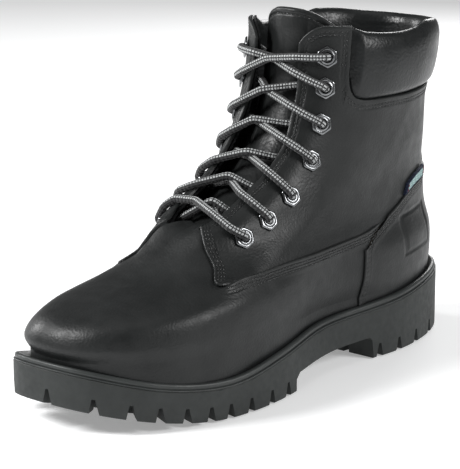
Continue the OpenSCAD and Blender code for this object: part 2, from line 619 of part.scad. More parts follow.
// Height at which the strand from eyelet i leaves its own flap, and a point on the flap before that
function leave(i) = EYELETS[i][1] + 0.6 * (CROSSINGS[i][1] - EYELETS[i][1]);
function flap_point(side, a, h) = off_shaft(side * a, h, OVER_FLAP + 0.6);
function half_way(side, i, h) =
    flap_point(side, (EYELETS[i][0] + lookup(h, FLAP_EDGE)) / 2, (EYELETS[i][1] + h) / 2);

// From outside eyelet i on one side, over the tongue, under the other flap and out through eyelet i - 1
function strand(side, i) = [
    eyelet_point(side, i, OVER_FLANGE),
    half_way(side, i, leave(i)),
    edge_point(side, leave(i), OVER_FLAP),
    cross_point(i, side),
    edge_point(-side, ENTRIES[i - 1], -LACE_DEPTH),
    eyelet_point(-side, i - 1, -LACE_DEPTH),
    eyelet_point(-side, i - 1, -1)];
// The first crossing, under both flaps, and the last one, over both
function first_strand(side) = [
    eyelet_point(side, 6, -1),
    eyelet_point(side, 6, -LACE_DEPTH),
    edge_point(side, 5.15, -LACE_DEPTH),
    cross_point(6, side),
    edge_point(-side, ENTRIES[5], -LACE_DEPTH),
    eyelet_point(-side, 5, -LACE_DEPTH),
    eyelet_point(-side, 5, -1)];
function last_strand(side) = [
    eyelet_point(side, 1, OVER_FLANGE),
    half_way(side, 1, leave(1)),
    edge_point(side, leave(1), OVER_FLAP),
    cross_point(1, side),
    edge_point(-side, ENTRIES[0], OVER_FLAP),
    half_way(-side, 0, ENTRIES[0]),
    eyelet_point(-side, 0, OVER_FLANGE),
    eyelet_point(-side, 0, -1),
    eyelet_point(-side, 0, -LACE_DEPTH)];
// Half of the lace, from the bar across the lowest eyelets up to a top eyelet
function half_lace(side) = concat(
    first_strand(side),
    [for (i = [5 : -1 : 2]) each strand(i % 2 == 1 ? -side : side, i)],
    last_strand(-side));

module lace() color([0.12, 0.12, 0.12])
    tube(concat(backwards(half_lace(-1)),
                [eyelet_point(-1, 6, OVER_FLANGE)],
                [for (p = BAR) off_shaft(p[0], p[1], OVER_FLAP)],
                [eyelet_point(1, 6, OVER_FLANGE)],
                half_lace(1)), lace_d, 8);

function mirrored(route) = [for (p = route) [2 * X_SHIFT - p[0], p[1], p[2]]];
module lace_tail_lateral() color([0.12, 0.12, 0.12]) tube(TAIL, lace_d, 8);
module lace_tail_medial() color([0.12, 0.12, 0.12]) tube(mirrored(TAIL), lace_d, 8);

module aglet(end) {
    translate(end - [0, 0, AGLET_L]) cylinder(r = AGLET_R, h = AGLET_L, $fn = 24);
}
module aglet_lateral() color([0.05, 0.05, 0.05]) aglet(TAIL[len(TAIL) - 1]);
module aglet_medial() color([0.05, 0.05, 0.05]) aglet(mirrored(TAIL)[len(TAIL) - 1]);

outsole();
welt();
midsole();
heel_cushion();
shank();
insole_board();
footbed_foam();
footbed_cover();
vamp();
quarter_lateral();
quarter_medial();
heel_patch();
collar_cover();
collar_foam();
side_label();
steel_toe_cap();
toe_cap_strip();
vamp_insulation();
shaft_insulation();
heel_counter();
toe_lining();
shaft_lining();
tongue_leather();
tongue_foam();
tongue_lining();
gusset_lateral();
gusset_medial();
eyelets_lateral();
eyelets_medial();
eyelet_washers_lateral();
eyelet_washers_medial();
lace();
lace_tail_lateral();
lace_tail_medial();
aglet_lateral();
aglet_medial();
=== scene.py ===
from math import cos, pi, radians, sin

import bmesh
import bpy
import numpy as np
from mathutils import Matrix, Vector, kdtree


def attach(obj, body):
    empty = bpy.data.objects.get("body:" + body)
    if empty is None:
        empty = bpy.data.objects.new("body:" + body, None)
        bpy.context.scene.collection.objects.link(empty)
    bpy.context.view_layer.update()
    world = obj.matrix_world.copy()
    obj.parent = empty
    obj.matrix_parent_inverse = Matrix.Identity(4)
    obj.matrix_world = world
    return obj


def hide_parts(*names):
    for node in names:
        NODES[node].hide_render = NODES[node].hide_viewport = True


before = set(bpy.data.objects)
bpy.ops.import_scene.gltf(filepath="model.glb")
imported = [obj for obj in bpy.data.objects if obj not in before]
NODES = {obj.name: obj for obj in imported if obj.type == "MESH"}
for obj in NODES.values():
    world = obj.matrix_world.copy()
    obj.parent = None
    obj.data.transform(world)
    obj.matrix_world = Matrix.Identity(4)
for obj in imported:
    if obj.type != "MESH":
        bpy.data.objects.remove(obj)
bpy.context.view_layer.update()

UP = Vector((0, 0, 1))
MM = 0.001  # the tables and sizes below are in millimetres, as in the part's source

# ---- camera ----

AZIMUTH, ELEVATION, DISTANCE = 41.1, 13.6, 1.15
LENS = 158


def add_camera():
    az, el = radians(AZIMUTH), radians(ELEVATION)
    back = Vector((sin(az) * cos(el), -cos(az) * cos(el), sin(el)))
    right = (-back).cross(UP).normalized()
    up = right.cross(-back)
    aim = Vector((0.001, 0, 0.095)) - 0.0131 * right - 0.0178 * up
    data = bpy.data.cameras.new("camera")
    data.lens = LENS
    data.clip_start = 0.01
    camera = bpy.data.objects.new("camera", data)
    camera.location = aim + DISTANCE * back
    camera.rotation_euler = back.to_track_quat("Z", "Y").to_euler()
    bpy.context.collection.objects.link(camera)
    bpy.context.scene.camera = camera


add_camera()

# ---- the last, as in the part's source but fuller at the toe ----

X_SHIFT = 1
# Front z, back z, front y, back y, outer and inner half width, y of the widest outer and inner point,
# front and back squareness, outer and inner waist, tip x: one row for each step of height
LAST = np.array([
    [37, 37, -149, 146, 50, 51, -58, -84, 2.3, 2.6, 12, 12, -12],
    [45, 50, -152.5, 148, 50.5, 52, -58, -84, 2.28, 2.6, 9, 10, -13],
    [56, 64, -144, 148, 49, 46, -56, -73, 2.2, 2.6, 7, 7, -9],
    [64, 78, -118, 146, 44, 39, -45, -47, 2.1, 2.5, 2, 3, -6],
    [73, 92, -87, 145, 40, 36, -18, -16, 2.0, 2.5, 1, 1, -3],
    [91, 107, -55, 143, 37, 36, 26, 24, 2.0, 2.4, 0, 0, -2],
    [111, 123, -20, 140, 38, 37, 54, 50, 2.1, 2.4, 0, 0, -2],
    [131, 143, 3, 138, 40, 40, 66, 64, 2.1, 2.3, 0, 0, -1],
    [159, 164, 15, 140, 43, 43, 74, 72, 2.2, 2.2, 0, 0, 0],
    [195, 190, 18, 144, 45, 45, 80, 79, 2.2, 2.2, 0, 0, 0]], float)
SOLE = [-155, 155, 55, 56, -45, -85, 2.25, 2.75, 2.4, 13, 13, -14]
RIM = np.array([[36], [25], [21], [26], [30], [31.5], [34], [37], [39]], float)
WELT_H = 3.5
LUG_DEPTH = 6
FLOOR_T = 4
WALL_T = 9

# Seams, as [angle round the last, height up it]
VAMP_SEAM = [[0, 4.85], [18, 4.88], [31, 4.46], [45, 4.05], [68, 3.17], [75, 3.3], [90, 3.3], [101, 3.13],
             [113, 3.11], [121, 3.32]]
PATCH_SEAM = [[115, 2.3], [117, 2.9], [121, 3.32], [127, 3.75], [132, 4.03], [137, 4.15], [146, 4.22],
              [157, 4.5], [180, 4.6]]
COLLAR_SEAM = [[54, 8.2], [57, 7.93], [62, 7.76], [70, 7.67], [87, 7.61], [102, 7.54], [125, 7.5],
               [180, 7.45]]
FLAP_TOP = [[18, 8.7], [22, 8.82], [29, 8.93], [37, 8.97], [53, 8.97]]
FLAP_EDGE = [[4.9, 18], [5.25, 24], [5.65, 24], [6.15, 25.5], [6.75, 25], [7.1, 23.5], [7.5, 21], [8, 20],
             [8.4, 18]]
FLAP_LIFT = [[4, 0], [4.4, 2], [4.8, 5.5], [5.2, 5], [5.7, 3], [6.3, 2.8], [6.8, 3.6], [7.3, 3.2], [8, 2],
             [8.8, 0]]
LIFT_ANGLE = [34, 22]
COLLAR_RIM = [[53, 8.93], [66, 8.83], [88, 8.79], [100, 8.83], [112, 8.93], [125, 8.92], [150, 8.86],
              [180, 8.84]]

LEATHER = 1.8
MIDDLE = 2.3
SLACK = 0.3      # between the vamp and its insulation
BACKING = 1.8
INNER = 4.6
LINING = 1
EYESTAY = [56, 66]
EYESTAY_DEPTH = MIDDLE + LINING
WASHER_T = 0.6
LACE_D = 4.5
LACE_DEPTH = EYESTAY_DEPTH + WASHER_T + LACE_D / 2 + 0.6
TONGUE_DEPTH = LACE_DEPTH + LACE_D / 2 + 2
SEAT = 0.4
FLANGE_T = 1.2


def smooth_rows(table, u):
    """Values of an evenly spaced table at positions u, smooth through every row."""
    last = len(table) - 1
    i = np.clip(np.floor(u).astype(int), 0, last - 1)
    t = (u - i)[..., None]
    p, q = table[i], table[i + 1]
    before = np.where((i > 0)[..., None], table[np.maximum(i - 1, 0)], 2 * p - q)
    after = np.where((i < last - 1)[..., None], table[np.minimum(i + 2, last)], 2 * q - p)
    return 0.5 * (2 * p + (q - before) * t + (2 * before - 5 * p + 4 * q - after) * t**2
                  + (3 * p - before - 3 * q + after) * t**3)


def curve(points, x):
    """Smooth curve through given points, without overshoot."""
    xs, ys = np.array(points, float).T
    step = np.diff(xs)
    slope = np.diff(ys) / step
    tangent = np.zeros(len(xs))
    both = slope[:-1] * slope[1:]
    tangent[1:-1] = np.where(both > 0, 2 * both / np.where(both > 0, slope[:-1] + slope[1:], 1), 0)
    tangent[0], tangent[-1] = slope[0], slope[-1]
    x = np.clip(x, xs[0], xs[-1])
    i = np.clip(np.searchsorted(xs, x, side="right") - 1, 0, len(xs) - 2)
    t = (x - xs[i]) / step[i]
    return (ys[i] * (1 + 2 * t) * (1 - t)**2 + tangent[i] * step[i] * t * (1 - t)**2
            + ys[i + 1] * t * t * (3 - 2 * t) + tangent[i + 1] * step[i] * t * t * (t - 1))


def smoothstep(x):
    x = np.clip(x, 0, 1)
    return x * x * (3 - 2 * x)


def fold(a):
    w = np.mod(a, 360)
    return np.minimum(w, 360 - w)


def unit(v):
    return v / np.linalg.norm(v, axis=-1, keepdims=True)


def rim(y):
    return smooth_rows(RIM, (np.asarray(y, float) + 155) / 310 * (len(RIM) - 1))[..., 0]


def spring(y):
    return 14 * np.clip((-75 - np.asarray(y, float)) / 80, 0, None)**1.8


def ring(row, a):
    """x and y of a closed line round the foot at angle a."""
    (front_y, back_y, outer_w, inner_w, outer_y, inner_y, n_front, n_back,
     outer_waist, inner_waist, tip) = row
    w = np.mod(a, 360)
    outer = w <= 180
    front = (w <= 90) | (w >= 270)
    n = np.where(front, n_front, n_back)
    s = np.abs(np.sin(np.radians(w)))**(2 / n)
    c = np.abs(np.cos(np.radians(w)))**(2 / n)
    y0 = np.where(outer, outer_y, inner_y)
    y = y0 + (np.where(front, front_y, back_y) - y0) * c
    width = np.where(outer, outer_w, inner_w)
    pinch = np.where(outer, outer_waist, inner_waist) * np.exp(-((y - 22) / 46)**2)
    x = np.where(front, tip, 0) * (1 - s) + np.where(outer, 1, -1) * s * (width - pinch) + X_SHIFT
    return x, y


def last_point(a, h):
    a, h = np.broadcast_arrays(np.asarray(a, float), np.asarray(h, float))
    r = np.moveaxis(smooth_rows(LAST, np.maximum(h, 0)), -1, 0)
    x, y = ring(r[2:], a)
    z = r[0] + (r[1] - r[0]) * (y - r[2]) / (r[3] - r[2])
    z = z + np.minimum(h, 0) * (z - rim(y) + WELT_H - 0.5)
    return np.stack([x, y, z], -1)


def last_normal(a, h):
    return unit(np.cross(last_point(a + 0.5, h) - last_point(a - 0.5, h),
                         last_point(a, h + 0.02) - last_point(a, h - 0.02)))


def lift(a, h):
    heights, far = np.array(FLAP_LIFT).T
    return np.interp(h, heights, far) * np.exp(-((fold(a) - LIFT_ANGLE[0]) / LIFT_ANGLE[1])**2)


def on_last(a, h, d=0.0):
    return last_point(a, h) + np.asarray(d)[..., None] * last_normal(a, h)


def on_shaft(a, h, d=0.0):
    """Point a distance d outside the shaft, whose front the laced flaps lift off the last."""
    a, h, d = np.broadcast_arrays(np.asarray(a, float), np.asarray(h, float), np.asarray(d, float))
    return on_last(a, h, d + lift(a, h))


def shaft_normal(a, h):
    return unit(np.cross(on_shaft(a + 4, h) - on_shaft(a - 4, h),
                         on_shaft(a, h + 0.15) - on_shaft(a, h - 0.15)))


def inset(f, a, d):
    """Points of the closed line f, moved a distance d inwards."""
    p = np.stack(f(a), -1)
    t = unit(np.stack(f(a + 0.5), -1) - np.stack(f(a - 0.5), -1))
    return p - d * np.stack([t[..., 1], -t[..., 0]], -1)


def sole_outline(a, d):
    row = SOLE[:6] + [np.where(np.mod(a, 360) <= 180, SOLE[6], SOLE[7])] + SOLE[8:]
    return inset(lambda b: ring(row, b), a, d)


def foot_outline(a, d):
    return on_last(a, -0.5 + 0 * a, d + 0 * a)[..., :2]


# ---- materials ----


class Shader:
    """Short calls to build one material's nodes."""

    def __init__(self, name, **sockets):
        self.material = bpy.data.materials.new(name)
        self.material.use_nodes = True
        self.nodes = self.material.node_tree.nodes
        self.bsdf = self.nodes["Principled BSDF"]
        for socket, value in sockets.items():
            self.bsdf.inputs[socket.replace("_", " ")].default_value = value
        self.place = self.add("ShaderNodeTexCoord").outputs["Object"]

    def add(self, kind, **options):
        node = self.nodes.new(kind)
        for key, value in options.items():
            setattr(node, key, value)
        return node

    def join(self, output, socket):
        self.material.node_tree.links.new(output, socket)

    def noise(self, scale, detail=4.0, roughness=0.55, place=None):
        node = self.add("ShaderNodeTexNoise")
        node.inputs["Scale"].default_value = scale
        node.inputs["Detail"].default_value = detail
        node.inputs["Roughness"].default_value = roughness
        self.join(place or self.place, node.inputs["Vector"])
        return node.outputs["Fac"]

    def cells(self, scale, feature="F1", place=None):
        node = self.add("ShaderNodeTexVoronoi", feature=feature)
        node.inputs["Scale"].default_value = scale
        self.join(place or self.place, node.inputs["Vector"])
        return node.outputs["Distance"]

    def bands(self, scale, direction="DIAGONAL", place=None, distortion=0.0):
        node = self.add("ShaderNodeTexWave", bands_direction=direction)
        node.inputs["Scale"].default_value = scale
        node.inputs["Distortion"].default_value = distortion
        self.join(place or self.place, node.inputs["Vector"])
        return node.outputs["Fac"]

    def attribute(self, name):
        return self.add("ShaderNodeAttribute", attribute_name=name).outputs["Fac"]

    def math(self, operation, first, second):
        node = self.add("ShaderNodeMath", operation=operation)
        for value, socket in ((first, node.inputs[0]), (second, node.inputs[1])):
            if isinstance(value, (int, float)):
                socket.default_value = value
            else:
                self.join(value, socket)
        return node.outputs[0]

    def span(self, value, low, high, start=0.0, end=1.0):
        """value from start..end, mapped to low..high."""
        node = self.add("ShaderNodeMapRange")
        for socket, number in zip(("From Min", "From Max", "To Min", "To Max"), (start, end, low, high)):
            node.inputs[socket].default_value = number
        self.join(value, node.inputs["Value"])
        return node.outputs["Result"]

    def blend(self, fac, first, second):
        node = self.add("ShaderNodeMix", data_type="RGBA")
        self.join(fac, node.inputs["Factor"])
        for value, socket in ((first, node.inputs[6]), (second, node.inputs[7])):
            if isinstance(value, tuple):
                socket.default_value = (*value, 1)
            else:
                self.join(value, socket)
        return node.outputs[2]

    def colour(self, output):
        self.join(output, self.bsdf.inputs["Base Color"])

    def roughness(self, output):
        self.join(output, self.bsdf.inputs["Roughness"])

    def bump(self, height, strength, distance):
        node = self.add("ShaderNodeBump")
        node.inputs["Strength"].default_value = strength
        node.inputs["Distance"].default_value = distance
        self.join(height, node.inputs["Height"])
        before = self.bsdf.inputs["Normal"]
        if before.is_linked:
            self.join(before.links[0].from_socket, node.inputs["Normal"])
        self.join(node.outputs["Normal"], before)


def leather(name, dark, light, smooth, rough, grain=1.0):
    """Grained leather: pebbles with fine creases, paler near its edges, partly from wear and partly as a
    painted highlight along the raised edges.
    """
    s = Shader(name, Specular_IOR_Level=0.3)
    patches = s.noise(38, 3)
    worn_and_lit_edge = s.attribute("edge")
    base = s.blend(s.span(patches, 0, 1, 0.3, 0.7), dark, light)
    # paler colour near the edges: partly wear, partly a painted highlight on the raised edges; the finish is
    # a little glossier there too
    s.colour(s.blend(s.span(worn_and_lit_edge, 0, 0.5), base, tuple(1.3 * c for c in light)))
    s.roughness(s.math("ADD", s.span(s.noise(140, 4), smooth, rough, 0.3, 0.7), s.span(worn_and_lit_edge, 0, -0.06)))
    pebbles = s.cells(820 / grain, "SMOOTH_F1")
    s.bump(pebbles, 0.22, 0.0005 * grain)
    s.bump(s.noise(1500, 2), 0.1, 0.0003)
    s.bump(s.noise(70, 3), 0.12, 0.001)
    return s.material


def rubber(name, dark, light, smooth, rough):
    s = Shader(name, Specular_IOR_Level=0.35)
    s.colour(s.blend(s.span(s.noise(30, 5), 0, 1, 0.3, 0.7), dark, light))
    s.roughness(s.span(s.noise(260, 3), smooth, rough, 0.3, 0.7))
    s.bump(s.noise(2200, 3), 0.25, 0.0003)
    s.bump(s.noise(120, 2), 0.12, 0.0006)
    return s.material


def metal(name, dark, light, smooth, rough, scratches=400):
    s = Shader(name, Metallic=1.0)
    s.colour(s.blend(s.span(s.noise(90, 4), 0, 1, 0.35, 0.65), dark, light))
    s.roughness(s.span(s.noise(scratches, 4), smooth, rough, 0.3, 0.7))
    s.bump(s.noise(scratches * 4, 2), 0.12, 0.0002)
    return s.material


def fabric(name, dark, light, rough=0.9, weave=900.0):
    """Woven cloth: two crossed sets of ribs."""
    s = Shader(name, Sheen_Weight=0.06, Sheen_Roughness=0.5, Roughness=rough, Specular_IOR_Level=0.2)
    over, under = s.bands(weave / 6.28, "X"), s.bands(weave / 6.28, "Z")
    threads = s.math("MULTIPLY", over, under)
    s.colour(s.blend(s.math("MULTIPLY", threads, s.span(s.noise(60), 0.6, 1.2)), dark, light))
    s.bump(threads, 0.4, 0.0006)
    s.bump(s.noise(1800, 2), 0.2, 0.0002)
    return s.material


def soft_foam(name, dark, light):
    s = Shader(name, Roughness=0.95)
    holes = s.cells(1300)
    s.colour(s.blend(s.span(holes, 0, 1, 0.1, 0.6), dark, light))
    s.bump(holes, 0.5, 0.0005)
    return s.material


def felt(name, dark, light):
    s = Shader(name, Roughness=0.95, Sheen_Weight=0.3)
    fibres = s.noise(900, 6, 0.8)
    s.colour(s.blend(s.span(fibres, 0, 1, 0.3, 0.7), dark, light))
    s.bump(fibres, 0.5, 0.0005)
    return s.material


def lace_braid():
    """Round braid: its strands cross in diamonds, with two rows of pale dashes."""
    s = Shader("lace braid", Roughness=0.75, Sheen_Weight=0.15)
    split = s.add("ShaderNodeSeparateXYZ")
    s.join(s.add("ShaderNodeUVMap", uv_map="UVMap").outputs["UV"], split.inputs[0])
    round_it, along = split.outputs["X"], split.outputs["Y"]
    strands = s.math("MULTIPLY", round_it, 6.0)
    one, two = (s.math("SINE", s.math("MULTIPLY", s.math(way, strands, along), 2 * pi), 0)
                for way in ("ADD", "SUBTRACT"))
    weave = s.math("MULTIPLY", one, two)
    base = s.blend(s.span(weave, 0, 1, -1, 1), (0.006, 0.006, 0.007), (0.028, 0.029, 0.03))
    near = s.math("MINIMUM", s.math("ABSOLUTE", s.math("SUBTRACT", round_it, 0.185), 0),
                  s.math("ABSOLUTE", s.math("SUBTRACT", round_it, 0.315), 0))
    dash = s.math("GREATER_THAN", s.math("FRACT", s.math("MULTIPLY", along, 3.0), 0), 0.35)
    mark = s.math("MULTIPLY", s.math("LESS_THAN", near, 0.036), dash)
    s.colour(s.blend(mark, base, (0.44, 0.455, 0.455)))
    s.bump(weave, 0.5, 0.0004)
    s.bump(s.noise(2500, 2), 0.3, 0.0001)
    return s.material


def plastic(name, dark, light, rough):
    s = Shader(name, Coat_Weight=0.3)
    s.colour(s.blend(s.span(s.noise(150), 0, 1, 0.3, 0.7), dark, light))
    s.roughness(s.span(s.noise(500), rough, rough + 0.12, 0.3, 0.7))
    s.bump(s.noise(900, 2), 0.08, 0.0002)
    return s.material


SMOOTH = leather("upper leather", (0.0075, 0.0085, 0.0085), (0.0155, 0.0168, 0.0168), 0.38, 0.5)
COLLAR = leather("collar leather", (0.007, 0.008, 0.008), (0.014, 0.0152, 0.0155), 0.27, 0.38, 1.3)
TONGUE = leather("tongue leather", (0.007, 0.008, 0.008), (0.0145, 0.0155, 0.0155), 0.34, 0.46, 1.2)
SOLE_RUBBER = rubber("sole rubber", (0.02, 0.0225, 0.022), (0.032, 0.0355, 0.0345), 0.55, 0.72)
WELT_RUBBER = rubber("welt rubber", (0.024, 0.027, 0.0265), (0.04, 0.044, 0.043), 0.34, 0.46)
CLOTH = fabric("lining cloth", (0.005, 0.0055, 0.006), (0.017, 0.018, 0.0195))
BED_CLOTH = fabric("footbed cloth", (0.02, 0.021, 0.023), (0.075, 0.078, 0.082), weave=600.0)
BED_FOAM = soft_foam("footbed foam", (0.05, 0.052, 0.055), (0.11, 0.115, 0.12))
MIDSOLE = soft_foam("midsole foam", (0.2, 0.2, 0.18), (0.34, 0.34, 0.31))
FELT = felt("insulation felt", (0.5, 0.5, 0.46), (0.8, 0.8, 0.75))
BOARD = felt("fibre board", (0.38, 0.3, 0.2), (0.6, 0.5, 0.36))
GEL = plastic("gel", (0.5, 0.36, 0.06), (0.7, 0.55, 0.15), 0.2)
STEEL = metal("steel", (0.4, 0.41, 0.42), (0.62, 0.63, 0.65), 0.22, 0.42)
GUNMETAL = metal("eyelet metal", (0.13, 0.134, 0.138), (0.23, 0.236, 0.242), 0.2, 0.3, 700)
BRAID = lace_braid()
TIP = plastic("lace tip", (0.008, 0.008, 0.009), (0.016, 0.016, 0.018), 0.25)
THREAD = plastic("thread", (0.004, 0.0045, 0.0045), (0.012, 0.013, 0.013), 0.6)
LABEL_FACE = fabric("label cloth", (0.2, 0.3, 0.3), (0.42, 0.55, 0.55), 0.7, 1500.0)
LABEL_EDGE = fabric("label border", (0.008, 0.012, 0.03), (0.02, 0.03, 0.06), 0.7, 1500.0)
LABEL_THREAD = felt("label thread", (0.1, 0.008, 0.02), (0.2, 0.02, 0.04))

# ---- meshes ----


def add_piece(name, vertices, faces, material, slot, body="boot", stands_for=(), edge=None, uv=None,
              sharp=50):
    mesh = bpy.data.meshes.new(name)
    mesh.from_pydata((np.asarray(vertices) * MM).tolist(), [], faces)
    mesh.polygons.foreach_set("use_smooth", [True] * len(mesh.polygons))
    mesh.set_sharp_from_angle(angle=radians(sharp))
    mesh.materials.append(material)
    if edge is not None:
        mesh.attributes.new("edge", "FLOAT", "POINT").data.foreach_set("value", np.ravel(edge))
    if uv is not None:
        layer = mesh.uv_layers.new(name="UVMap")
        corner = np.zeros(len(mesh.loops), int)
        mesh.loops.foreach_get("vertex_index", corner)
        layer.data.foreach_set("uv", np.ravel(uv[corner]))
    mesh.update()
    piece = bpy.data.objects.new(name, mesh)
    bpy.context.collection.objects.link(piece)
    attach(piece, body)
    if stands_for:
        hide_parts(*stands_for)
    return piece


def quads(n, m, start=0, flip=False, closed=False):
    """Faces of an n by m grid whose vertices start at that number; closed joins the last column to the
    first."""
    i, j = np.meshgrid(np.arange(n if closed else n - 1), np.arange(m - 1), indexing="ij")
    k = start + i * m + j
    next_column = start + (i + 1) % n * m + j
    faces = np.stack([k, next_column, next_column + 1, k + 1], -1).reshape(-1, 4)
    return (faces[:, ::-1] if flip else faces).tolist()


def solid(name, outer, inner, material, slot, edge=None, **options):
    """Closed sheet between two grids of points, (columns, rows, 3)."""
    n, m = outer.shape[:2]
    o = n * m
    faces = quads(n, m) + quads(n, m, o, True)
    for i in range(n - 1):
        k = i * m
        faces.append([k, o + k, o + k + m, k + m])
        k = i * m + m - 1
        faces.append([k, k + m, o + k + m, o + k])
    for j in range(m - 1):
        faces.append([j, j + 1, o + j + 1, o + j])
        k = (n - 1) * m + j
        faces.append([k, o + k, o + k + 1, k + 1])
    vertices = np.concatenate([outer.reshape(-1, 3), inner.reshape(-1, 3)])
    if edge is not None:
        edge = np.concatenate([edge.ravel(), np.zeros(o)])
    return add_piece(name, vertices, faces, material, slot, edge=edge, **options)


def loop_solid(name, rings, material, slot, **options):
    """Closed solid from a row of closed rings of points, (rings, points, 3), with flat ends."""
    n, m = rings.shape[:2]
    faces = []
    for i in range(n - 1):
        for j in range(m):
            k = (j + 1) % m
            faces.append([i * m + j, i * m + k, (i + 1) * m + k, (i + 1) * m + j])
    faces.append(list(range(m))[::-1])
    faces.append([(n - 1) * m + j for j in range(m)])
    return add_piece(name, rings.reshape(-1, 3), faces, material, slot, **options)


def distance(points, line):
    """How far each point is from a line of close points."""
    tree = kdtree.KDTree(len(line))
    for i, p in enumerate(line):
        tree.insert(p, i)
    tree.balance()
    return np.array([tree.find(p)[2] for p in points.reshape(-1, 3)]).reshape(points.shape[:-1])


def rounding(x, radius=0.8):
    """How far the face falls off at distance x from a rounded edge."""
    short = np.clip(radius - x, 0, radius)
    return radius - np.sqrt(radius**2 - short**2)


def line_on(angles, heights, n=2500):
    """Close points on the shaft, along a line given by the angles and heights of a few hundred points."""
    u = np.linspace(0, 1, n)
    old = np.linspace(0, 1, len(angles))
    return on_shaft(np.interp(u, old, angles), np.interp(u, old, heights))


FINE = np.array([0, 0.12, 0.35, 0.7, 1.2, 1.8, 2.4, 3, 3.6, 4.2, 4.8, 5.4, 6, 6.7, 7.5, 8.5])


def grid(columns, low, high, middle, lean=None):
    """Angles and heights of a sheet's grid. Its rows are fine at both edges; low and high give heights."""
    a = np.asarray(columns, float)[:, None]
    lo, hi = low(a), high(a)
    probe = on_shaft(a, lo + (hi - lo) * np.linspace(0, 1, 12))
    length = np.linalg.norm(np.diff(probe, axis=1), axis=2).sum(1)[:, None]
    fine = FINE / np.maximum(length, 25)
    between = np.linspace(0, 1, middle + 2)[1:-1]
    t = np.concatenate([fine, fine[:, -1:] + (1 - 2 * fine[:, -1:]) * between, 1 - fine[:, ::-1]], 1)
    h = lo + (hi - lo) * t
    return a + (lean(a, h) if lean else 0) + 0 * h, h


LAP = 1.4        # how far a lapped edge stands up
STITCH_ROWS = [2.2, 3.8, 5.4]  # distances of the rows of stitches from a lapped edge


GROOVE = 0.42    # how deep the rows of stitches lie


def seam_profile(x, weight=1.0, rows=STITCH_ROWS, lap=LAP):
    """Height of the leather at distance x from a lapped and stitched edge."""
    grooves = sum(GROOVE * np.exp(-((x - row) / 0.5)**2) for row in rows)
    return weight * (lap * (1 - smoothstep(x / 9)) - grooves)


def wrinkles(p, size, depth):
    """Soft, shallow unevenness of real leather."""
    x, y, z = np.moveaxis(p / size, -1, 0)
    waves = (np.sin(x + 1.3 * np.sin(0.7 * z + 1)) * np.sin(0.9 * y + 1.1 * np.sin(0.6 * x))
             + 0.5 * np.sin(2.1 * z + 1.7 * np.sin(0.8 * y + 2)) * np.sin(1.7 * y - x))
    return depth * waves


# ---- seams ----


def patch_edge(h):
    """Angle of the heel patch's front edge at height h."""
    return np.interp(h, [2.3, 2.9, 3.32], [115, 117, 121])


def vamp_top(f):
    return curve(VAMP_SEAM, f)


def patch_top(f):
    return curve(PATCH_SEAM, f)


def flap_edge(h):
    return curve(FLAP_EDGE, h)


QUARTER_LOW = [p for p in VAMP_SEAM if 18 <= p[0] < 121] + [p for p in PATCH_SEAM if p[0] >= 121]
QUARTER_TOP = FLAP_TOP + [[54, 8.22]] + COLLAR_SEAM[1:]


def quarter_low(f):
    return curve(QUARTER_LOW, f)


def quarter_top(f):
    return curve(QUARTER_TOP, f)


def sampled(start, end, heights, side=1, n=300):
    f = np.linspace(start, end, n)
    return side * f, heights(f)


def patch_line(side):
    """Front and top edge of the heel patch on one side, from the sole up and back to the heel."""
    h = np.linspace(-1, 2.9, 60)
    f = np.linspace(117.3, 180, 240)
    return np.concatenate([patch_edge(h), f]) * side, np.concatenate([h, patch_top(f)])


def flap_line(side):
    """Front edge of the lace flap, then its top, then down and along the collar's edge to the heel."""
    h = np.linspace(4.92, 8.68, 160)
    f = np.linspace(18, 180, 500)
    return np.concatenate([flap_edge(h), f]) * side, np.concatenate([h, quarter_top(f)])


def offset(angles, heights, d, depth=0.0):
    """The line on the shaft a distance d to the left of another, seen from outside along the line."""
    for _ in range(2):
        p = on_shaft(angles, heights)
        along = np.gradient(p, axis=0)
        n = last_normal(angles, heights)
        left = unit(np.cross(n, along))
        da = (on_shaft(angles + 0.5, heights) - on_shaft(angles - 0.5, heights))
        dh = (on_shaft(angles, heights + 0.01) - on_shaft(angles, heights - 0.01)) / 0.02
        m = np.stack([da, dh], -1)
        step = np.einsum("kji,kj->ki", np.linalg.pinv(m).transpose(0, 2, 1), left)
        angles, heights = angles + step[:, 0] * d / 2, heights + step[:, 1] * d / 2
    return angles, heights


# ---- threads ----

STITCH = 2.7     # from one stitch to the next
STITCH_L = 1.9
STITCH_R = 0.36


def capsule(start, end, normal, radius):
    """Vertices of one stitch: a short thread that dips into the leather at both ends."""
    along = end - start
    side = unit(np.cross(normal, along))
    rings = []
    for t, r, rise in ((0, 0.55, -0.75), (0.2, 0.95, -0.1), (0.5, 1, 0.12), (0.8, 0.95, -0.1),
                       (1, 0.55, -0.75)):
        centre = start + along * t + normal * rise * radius
        for k in range(6):
            w = k * pi / 3
            rings.append(centre + radius * r * (cos(w) * side + sin(w) * normal))
    return rings


CAPSULE_FACES = [[i * 6 + j, i * 6 + (j + 1) % 6, i * 6 + 6 + (j + 1) % 6, i * 6 + 6 + j]
                 for i in range(4) for j in range(6)] + [[5, 4, 3, 2, 1, 0], [24, 25, 26, 27, 28, 29]]


def stitches(name, lines, body="boot", material=THREAD, slot="leather_smooth", radius=STITCH_R):
    """One piece of thread for several lines, each (points, normals)."""
    vertices, faces = [], []
    for points, normals in lines:
        s = np.concatenate([[0], np.cumsum(np.linalg.norm(np.diff(points, axis=0), axis=1))])
        for start in np.arange(0.5, s[-1] - STITCH_L, STITCH):
            a, b, n = (np.array([np.interp(at, s, column) for column in table.T])
                       for at, table in ((start, points), (start + STITCH_L, points),
                                         (start + STITCH_L / 2, normals)))
            faces += [[len(vertices) + k for k in face] for face in CAPSULE_FACES]
            vertices += capsule(a, b, unit(n), radius)
    return add_piece(name, vertices, faces, material, slot, body=body, sharp=80)


def on_seam(line, d, height):
    """Points and normals of a row of stitches at distance d from a seam line, that far above the shaft."""
    a, h = offset(*line, d)
    return on_shaft(a, h, height), last_normal(a, h)


# ---- upper ----


